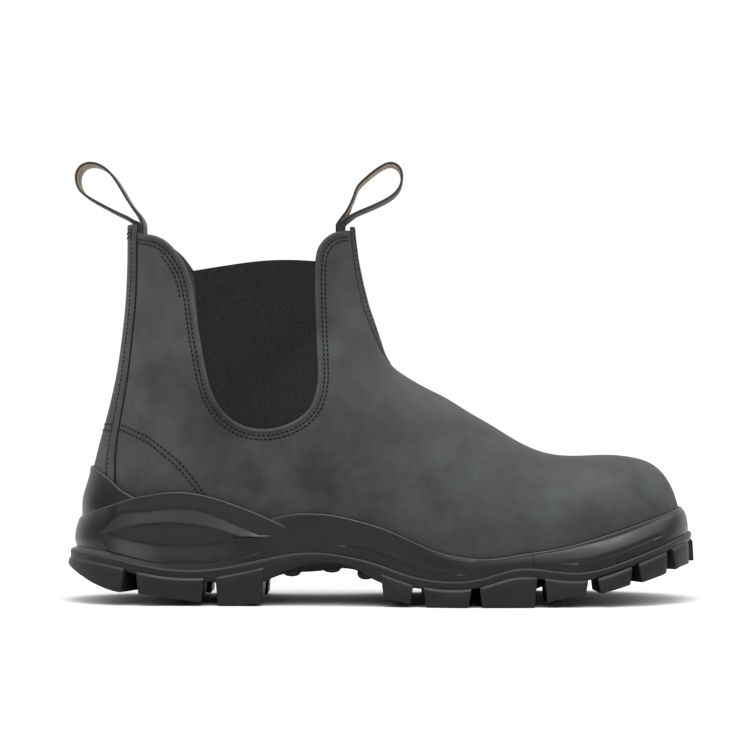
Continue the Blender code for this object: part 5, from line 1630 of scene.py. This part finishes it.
def groove_at(x):
    """Height and depth of the moulded groove at a place along the side."""
    height, depth = None, 0.0
    for rows in GROOVE_LINES:
        table = np.array(rows, float) * (LENGTH, HEEL_SEAT)
        ahead = (x - table[0, 0]) / GROOVE_FADE
        behind = (table[-1, 0] - x) / GROOVE_FADE
        inside = min(ahead, behind)
        at = spline(table[:, 0], table[:, 1])
        if inside > 0:
            return at(x), GROOVE_DEPTH * smooth(inside)
        if height is None or abs(x - table[0, 0]) < abs(x - table[-1, 0]):
            height = at(x)
    return height, depth


def tucked(x, z, low):
    """How far what lies behind the heel wave draws back at a height, so that it stays out of the dish."""
    below = smooth((heel_wave_top(x) - TUCK_BELOW - z) / TUCK_EASE)
    rear = 1 - smooth((x / LENGTH - TUCK_END) / 0.08)
    return TUCK_DEPTH * below * rear * smooth((z - low) / 0.002)


# %% The fore wave, all round
CORE_RAYS = 430
# Its foot overlaps the tread's plate and lies in from the edge. Its inner wall is a share of the reach.
CORE_OVERLAP = 0.0004
CORE_FOOT_IN = 0.0006
CORE_INNER = 0.86
# The mould line is a hairline pinch, and the grooves keep clear of the foot and the lip.
PINCH_DEPTH = 0.00025
PINCH_HALF = 0.0009
CLEAR_OF_FOOT = 0.0035
CLEAR_OF_LIP = 0.0045


def core_section(place):
    _, _, reach = ray(place)
    x = edge_x(place)
    low = parting_z(x) - CORE_OVERLAP
    lip, top = lip_on(place, fore_wave_top, LIP_WALL)
    rear = 1 - smooth((x / LENGTH - 0.27) / 0.12)
    power = mix(2.6, 0.9, rear)

    def face(z):
        v = min(max((z - low) / (top - low), 0.0), 1.0)
        return mix(reach - CORE_FOOT_IN, lip, v**power)

    groove, depth = groove_at(x)
    groove = min(max(groove, low + CLEAR_OF_FOOT), top - CLEAR_OF_LIP)
    first, last = GROOVE_SHAPE[0][0] * GROOVE_WIDTH, GROOVE_SHAPE[-1][0] * GROOVE_WIDTH
    marks = [(low, 0.0), (low + 0.0008, 0.0), (low + 0.0016, 0.0)]
    marks += [(mix(low + 0.0016, groove + first, k / 4), 0.0) for k in range(1, 4)]
    marks += [(groove + share * GROOVE_WIDTH, dip * depth) for share, dip in GROOVE_SHAPE]
    marks += [(mix(groove + last, top - LIP_ROUND, k / 9), 0.0) for k in range(1, 9)]
    pinch = PINCH_DEPTH * bump(x / LENGTH, MOULD_LINE, PINCH_HALF)
    foot = low + BASE_FLANGE + 0.001
    profile = [(reach * CORE_INNER, low)]
    profile += [(face(z) - dip - pinch - tucked(x, z, foot), z) for z, dip in marks]
    profile += lip_arc(lip, top)
    profile.append((reach * CORE_INNER, top - LIP_DROP))
    return [on_ray(place, r, z) for r, z in profile]


def ray_places(count):
    half = np.linspace(0, 1, count // 2 + 1)
    return np.concatenate([-half[:0:-1], half[:-1]])


# A ray exactly at y = 0 slips through the last's back seam, so every ray is nudged a hair to one side.
NUDGE = 1e-4
MOULD_RAYS = (-0.0010, -0.0005, 0, 0.0005, 0.0010)
places = list(ray_places(CORE_RAYS) + NUDGE)
for sign in (-1, 1):
    places += [place_at((MOULD_LINE + shift) * LENGTH, sign) for shift in MOULD_RAYS]
core = ring_of("midsole_fore_wave", [core_section(p) for p in sorted(places)], True)
claim(core, "midsole_foam", "midsole")
print("fore wave: %d faces" % len(core.data.polygons))

# %% [markdown]
# ## The heel wave and its dish
#
# The heel wave is the sole's show piece. Its face comes out in two steps, above and below an upright
# almond-shaped eye, and the steps catch the light as two crescents. Each ray's profile is therefore
# drawn through five heights: the foot, the lower crescent, the eye, the upper crescent and the lip.
# The mesh's rows follow those lines, so the creases stay crisp.

# %% Sizes of the heel wave and its dish
WAVE_STEP = 0.0012
WAVE_ROWS = (4, 9, 7, 9, 9)
ROW_LEAST = 0.0007
WAVE_BACK = 0.008
WING_BACK = 0.010
WAVE_FOOT_IN = 0.0010
WING_FOOT_IN = 0.0046
# The two steps: how far in the foot of the dish lies, how far the face comes out again below the eye,
# as a share of the wave's travel, and how far in it lies above the eye.
CRESCENT_IN = 0.0010
EYE_OUT = 0.45
EYE_IN = 0.0016
TRAVEL_LEAST = 0.0020
# The dish's and the eye's edges seen from the side: shares of LENGTH and HEEL_SEAT.
DISH_TOP = (
    (0.0623, 1.020), (0.0777, 1.241), (0.1161, 1.349), (0.1774, 1.402), (0.2337, 1.325), (0.2695, 1.176),
    (0.3027, 1.037), (0.3385, 0.880),
)
DISH_FOOT = (
    (0.0623, 1.000), (0.0713, 0.845), (0.0981, 0.713), (0.1314, 0.648), (0.1774, 0.629), (0.2337, 0.629),
    (0.2695, 0.677), (0.3078, 0.768), (0.3385, 0.860),
)
EYE_TOP = (
    (0.0751, 1.016), (0.0981, 1.090), (0.1288, 1.152), (0.1774, 1.169), (0.2234, 1.121), (0.2567, 1.056),
    (0.2848, 0.972),
)
EYE_FOOT = (
    (0.0751, 1.014), (0.0981, 0.953), (0.1288, 0.898), (0.1774, 0.874), (0.2183, 0.884), (0.2439, 0.912),
    (0.2848, 0.968),
)
dish_top, dish_foot = line(DISH_TOP, LENGTH, HEEL_SEAT), line(DISH_FOOT, LENGTH, HEEL_SEAT)
eye_top, eye_foot = line(EYE_TOP, LENGTH, HEEL_SEAT), line(EYE_FOOT, LENGTH, HEEL_SEAT)
print("rows up the heel wave's face:", sum(WAVE_ROWS))

# %% How far the wing and the heel wave reach
def wing_reach(place, z):
    """The rear wing's face: thin at its lip and filling out towards the heel's base."""
    _, _, reach = ray(place)
    lip, top = lip_on(place, wing_top, WING_WALL)
    share = min(max((top - z) / (0.70 * HEEL_SEAT), 0.0), 1.0)
    return mix(lip, reach - WING_FOOT_IN, smooth(1.2 * share))


def heel_wave_face(place):
    """The heel wave on one ray: its foot, its top, how far its lip reaches and how deep its end sinks."""
    _, _, reach = ray(place)
    x = edge_x(place)
    lip, top = lip_on(place, heel_wave_top, LIP_WALL)
    edge = max(lip, wing_reach(place, top) + 0.0006)
    ahead = smooth((x / LENGTH - 0.30) / 0.03)
    edge = mix(edge, max(edge, reach - 0.0022), ahead)
    sink = 0.0026 * smooth((x / LENGTH - 0.335) / 0.055)
    return parting_z(x) + BASE_FLANGE, top, edge, sink


# %% The heel wave and the wing, profile by profile
def dish_lines(x, low, top):
    """The five heights on one ray, kept apart where the dish has run out."""
    lines = [low, dish_foot(x), eye_foot(x), eye_top(x), dish_top(x), top]
    for i in range(1, 5):
        lines[i] = max(lines[i], lines[i - 1] + ROW_LEAST)
    for i in range(4, 0, -1):
        lines[i] = min(lines[i], lines[i + 1] - ROW_LEAST)
    return lines


def wave_section(place):
    _, _, reach = ray(place)
    low, top, edge, sink = heel_wave_face(place)
    x = edge_x(place)
    shown = smooth((x / LENGTH - 0.055) / 0.055) * smooth((0.345 - x / LENGTH) / 0.090)
    foot_reach = reach - WAVE_FOOT_IN

    def plain(z):
        share = min(max((z - low) / (top - low), 0.0), 1.0)
        return mix(foot_reach, edge, share**2.4)

    marks = dish_lines(x, low, top - LIP_ROUND)
    travel = max(plain(marks[1]) - edge, TRAVEL_LEAST)
    below_eye, above_eye = edge + EYE_OUT * travel, edge - EYE_IN
    reaches = [plain(low), plain(marks[1]), edge - CRESCENT_IN, below_eye, above_eye, edge]
    heights = [low]
    for i, rows in enumerate(WAVE_ROWS):
        heights += [mix(marks[i], marks[i + 1], (k + 1) / rows) for k in range(rows)]
    stepped = np.interp(heights, marks, reaches)
    eased = stepped.copy()
    eased[1:-1] = (stepped[:-2] + 2 * stepped[1:-1] + stepped[2:]) / 4
    profile = [(edge - WAVE_BACK, low)]
    for k, z in enumerate(heights):
        foot = 0.0007 * (1 - smooth(k / 2))
        profile.append((mix(plain(z), eased[k], shown) - sink - foot, z))
    profile += [(r - sink, z) for r, z in lip_arc(edge, top)]
    profile.append((edge - WAVE_BACK, top - LIP_DROP))
    return [on_ray(place, r, z) for r, z in profile]


def wing_section(place):
    lip, top = lip_on(place, wing_top, WING_WALL)
    low = parting_z(edge_x(place)) + 0.004
    heights = [mix(low, top - LIP_ROUND, k / 22) for k in range(23)]
    face = [(wing_reach(place, z), z) for z in heights] + lip_arc(lip, top)
    profile = [(lip - WING_BACK, low)]
    profile += [(r - tucked(edge_x(place), z, low - 0.01), z) for r, z in face]
    profile.append((lip - WING_BACK, top - LIP_DROP))
    return [on_ray(place, r, z) for r, z in profile]


def wave_places(reach_forward):
    end = place_at(reach_forward * LENGTH, 1)
    return np.linspace(-end, end, 2 * int(end * SIDE_RUN / WAVE_STEP))


wave = ring_of("midsole_heel_wave", [wave_section(p) for p in wave_places(HEEL_WAVE_END)], False)
wing = ring_of("midsole_wing", [wing_section(p) for p in wave_places(WING_END)], False)
claim(wave, "midsole_foam")
claim(wing, "midsole_foam")
print("heel wave: %d faces, wing: %d" % (len(wave.data.polygons), len(wing.data.polygons)))

# %% [markdown]
# ## The outsole
#
# The tread is a thin plate with a row of lugs along each edge, blocks between them and three rounded
# ribs across the waist. A lug leans in towards its tread, and its top is a narrow sloping land. The
# lugs are made one by one by the same function, each with its edges rounded.

# %% The plate
PLATE_RAYS = 300
RADIAL_SHARES = (0.30, 0.72, 0.83, 0.94, 0.985, 1.0)
# The plate's rim bulges a little: shares of its height from the parting line down, and how far out.
RIM_BULGE = ((0.06, 0.0006), (0.12, 0.0009), (0.3, 0.0010), (0.6, 0.0008), (0.9, 0.0002))
UNDER_SHARES = (0.97, 0.85, 0.72, 0.5, 0.30)


def plate_section(place):
    _, _, reach = ray(place)
    x = edge_x(place)
    profile = []
    for share in RADIAL_SHARES:
        profile.append((reach * share, parting_height(on_ray(place, reach * share, 0)[0], share)))
    rim = parting_z(x)
    bottom = plate_bottom(x, 1.0)
    for k, out in RIM_BULGE:
        profile.append((reach + out, mix(rim, bottom, k)))
    for share in UNDER_SHARES:
        point = on_ray(place, reach * share, 0)
        profile.append((reach * share, plate_bottom(point[0], share)))
    return [on_ray(place, r, z) for r, z in profile]


def fill_spine(faces, count, total):
    """Closes the plate over its spine, above and below: the rays of both sides face each other."""
    half = total // 2
    for i in range(half):
        a, b = (half + i) % total, (half + i + 1) % total
        c, d = (half - i) % total, (half - i - 1) % total
        for first in (0, count - 1):
            faces.append(tuple(n * count + first for n in (a, b, d, c)))


places = ray_places(PLATE_RAYS)
sections = [plate_section(p) for p in places]
count, total = len(sections[0]), len(sections)
points = [p for section in sections for p in section]
faces = []
for i in range(total):
    m = (i + 1) % total
    faces += [(i * count + j, i * count + j + 1, m * count + j + 1, m * count + j) for j in range(count - 1)]
fill_spine(faces, count, total)
plate = make_piece("tread_plate", points, faces, (tread_rubber,), sharp=50)
claim(plate, "outsole_rubber", "outsole")
print("plate: %d faces" % len(plate.data.polygons))

# %% The lugs
LUG_EDGE = 0.00055
LUG_STEP = 0.0035
# The shoulder's slant, how far in its outer edge lies, and how far out from the root the tread starts.
LUG_SHOULDER = 0.0012
LUG_TOP_IN = 0.0006
LUG_ROOT_LEAN = 0.0015
LUG_SHARE_MOST = 0.62


def rounded(name, points, faces, width=LUG_EDGE):
    """A block with every sharp edge rounded."""
    return round_edges(make_piece(name, points, faces, (tread_rubber,)), width, 28, 50)


def lug_on(name, places, inward, taper=LUG_TAPER):
    """A lug across several rays. Its ends lean in by the taper towards the tread."""
    middle = (places[0] + places[-1]) / 2
    last = len(places) - 1
    sections = []
    for i, place in enumerate(places):
        _, _, reach = ray(place)
        x = edge_x(place, LUG_REACH)
        lean = taper / SIDE_RUN * abs(2 * i / last - 1)
        tread_place = place + math.copysign(lean, middle - place) if lean else place
        land = parting_z(x) - LUG_LAND
        tread = tread_z(min(max(x, 0), LENGTH))
        inner = reach - min(inward, reach * LUG_SHARE_MOST)
        root = on_ray(place, inner, 0)
        root[2] = min(land, plate_bottom(root[0], inner / reach) + LUG_ROOT)
        sections.append([
            on_ray(place, reach - LUG_SHOULDER, land + LUG_SHOULDER),
            on_ray(place, reach + LUG_REACH - LUG_TOP_IN, land - LUG_SHOULDER),
            on_ray(tread_place, reach + LUG_REACH, tread),
            on_ray(tread_place, inner + LUG_ROOT_LEAN, tread),
            root,
        ])
    count = len(sections[0])
    points = [p for section in sections for p in section]
    return rounded(name, points, caps(count, len(points)) + band(count, len(sections)))


# %% Lugs along both edges and round the heel
def edge_places(start, end, sign):
    first, final = place_at(start * LENGTH, sign), place_at(end * LENGTH, sign)
    steps = max(int(abs(final - first) * SIDE_RUN / LUG_STEP), 2)
    return np.linspace(first, final, steps + 1)


lugs = []
for sign, side in ((-1, "lateral"), (1, "medial")):
    for number, (start, end) in enumerate(EDGE_LUGS):
        lugs.append(lug_on("lug_%s_%d" % (side, number), edge_places(start, end, sign), LUG_DEPTH_INWARD))
heel = place_at(HEEL_LUG_END * LENGTH, 1)
lugs.append(lug_on("lug_heel", np.linspace(-heel, heel, 25), LUG_DEPTH_INWARD * 0.7))
toe = place_at(TOE_LUG_START * LENGTH, 1)
toe_places = np.concatenate([np.linspace(toe, 1.0, 4), -np.linspace(1.0, toe, 4)[1:]])
print("edge lugs:", len(lugs))

# %% Blocks between the edge lugs, the toe's lug and the ribs under the arch
RIB_SHIFT = 0.001
RIB_EDGE = 0.0008


def lug_root(x):
    """The height at which a lug or rib on the middle line starts, a little way inside the plate."""
    return plate_bottom(x, RADIAL_SHARES[0]) + LUG_ROOT


def middle_lug(number, row):
    x, offset, length, width = (v * LENGTH for v in row)
    y = swing(x) + offset
    points = []
    for height_at, lean in ((lug_root, 0.0), (tread_z, 2 * LUG_TAPER)):
        for dx, dy in MIDDLE_LUG_CORNERS:
            px, py = x + dx * (length - lean), y + dy * (width - lean)
            points.append((px, py, height_at(px)))
    return rounded("lug_middle_%d" % number, points, caps(6, 12) + band(6, 2))


def arch_rib(number, place, tip):
    x, half = place * LENGTH, ARCH_RIB_WIDTH / 2
    root, low = lug_root(x), tip * HEEL_SEAT
    turns = np.linspace(0, math.pi, 13)
    ring = [(x - 0.5 * ARCH_RIB_LENGTH * math.cos(t), mix(root, low, math.sin(t) ** 0.6)) for t in turns]
    middle = swing(x) - RIB_SHIFT
    return rounded("rib_%d" % number, *side_prism(ring, middle - half, middle + half), RIB_EDGE)


lugs.append(lug_on("lug_toe", toe_places, LUG_DEPTH_INWARD * 0.6, taper=0.0))
lugs += [middle_lug(i, row) for i, row in enumerate(MIDDLE_LUGS)]
lugs += [arch_rib(i, *row) for i, row in enumerate(ARCH_RIBS)]

# %% All the lugs as one piece
tread = bmesh.new()
for lug in lugs:
    tread.from_mesh(lug.data)
    bpy.data.objects.remove(lug)
mesh = bpy.data.meshes.new("tread_lugs")
tread.to_mesh(mesh)
tread.free()
mesh.materials.append(tread_rubber)
tread_lugs = link("tread_lugs", mesh)
mesh.shade_smooth()
mesh.set_sharp_from_angle(angle=math.radians(50))
claim(tread_lugs, "outsole_rubber")
print("lugs: %d in one piece, %d faces" % (len(lugs), len(mesh.polygons)))

# %% [markdown]
# ## Floor, light and camera
#
# The boot stands on a pale studio floor. The world stands in for the studio: white behind the boot,
# dim in front of it and bright overhead, so that the lips of the sole shine. One broad lamp leaves a
# soft shadow. The camera stands square to the boot's outer side, eight centimetres above the floor.

# %% A pale floor
FLOOR_HALF = 12.0


def floor_finish():
    material, source, wire = finish("studio_floor", Specular_IOR_Level=0.1)
    speck = source("Object").noise(300.0, 2.0, 0.5)
    paper = speck.colour((0.50, 0.50, 0.50), (0.52, 0.52, 0.52))
    wire(Base_Color=paper, Roughness=speck.step(0.2, 0.8, 0.85, 0.95))
    return material


corners = [(x * FLOOR_HALF, y * FLOOR_HALF, 0) for x, y in ((-1, -1), (1, -1), (1, 1), (-1, 1))]
floor_mesh = bpy.data.meshes.new("floor")
floor_mesh.from_pydata(corners, [], [(0, 1, 2, 3)])
floor_mesh.materials.append(floor_finish())
floor = link("floor", floor_mesh)
floor.location.z = -0.0002
print("floor: %.0f m across" % (2 * FLOOR_HALF))

# %% Soft light
def soft_light(name, place, aim, size, power):
    lamp = bpy.data.lights.new(name, "AREA")
    lamp.shape = "RECTANGLE"
    lamp.size, lamp.size_y = size
    lamp.energy = power
    obj = bpy.data.objects.new(name, lamp)
    obj.location = place
    obj.rotation_euler = (Vector(aim) - Vector(place)).to_track_quat("-Z", "Y").to_euler()
    bpy.context.scene.collection.objects.link(obj)


# The world's light by direction: overhead it grows between two heights, and behind it is paper white.
SOFTBOX_LOW = 0.10
SOFTBOX_HIGH = 0.75
SOFTBOX_BRIGHT = 3.0
FRONT_DIM = 0.05
BACK_WHITE = 1.05


def studio_world():
    """White behind the boot, dim in front and bright overhead, as between a paper roll and a softbox."""
    world = bpy.data.worlds.new("studio")
    world.use_nodes = True
    tree = world.node_tree
    found = tree.nodes.new("ShaderNodeTexCoord")
    _, y, z = Wire(tree, found.outputs["Generated"]).apart()
    overhead = z.step(SOFTBOX_LOW, SOFTBOX_HIGH, FRONT_DIM, SOFTBOX_BRIGHT)
    behind = y.step(0.15, 0.75)
    glow = behind * (BACK_WHITE - overhead) + overhead
    tree.nodes["Background"].inputs["Color"].default_value = (1, 1, 1, 1)
    tree.links.new(glow.socket, tree.nodes["Background"].inputs["Strength"])
    return world


bpy.context.scene.world = studio_world()
bpy.context.scene.view_settings.view_transform = "Standard"
soft_light("overhead", (0.05, -0.30, 1.3), (0.0, 0.0, 0.05), (0.9, 0.6), 13.0)
print("lamps:", len(bpy.data.lights))

# %% The camera
# Where the lens stands, and how the picture is framed: its focal length, width and horizon in pixels.
CAMERA_AT = (-0.00315, -1.0521, 0.0802)
FOCAL_PIXELS = 2158.0
FRAME_PIXELS = 750.0
HORIZON_ROW = 434.0
SENSOR = 36.0
lens = bpy.data.cameras.new("camera")
lens.sensor_width = SENSOR
lens.lens = FOCAL_PIXELS * SENSOR / FRAME_PIXELS
lens.shift_y = (HORIZON_ROW - FRAME_PIXELS / 2) / FRAME_PIXELS
camera = bpy.data.objects.new("camera", lens)
camera.location = CAMERA_AT
camera.rotation_euler = (math.pi / 2, 0, 0)
bpy.context.scene.collection.objects.link(camera)
bpy.context.scene.camera = camera
print("camera: %.0f mm lens, %.2f m away" % (lens.lens, -CAMERA_AT[1]))

# %% The last line
bpy.context.view_layer.update()
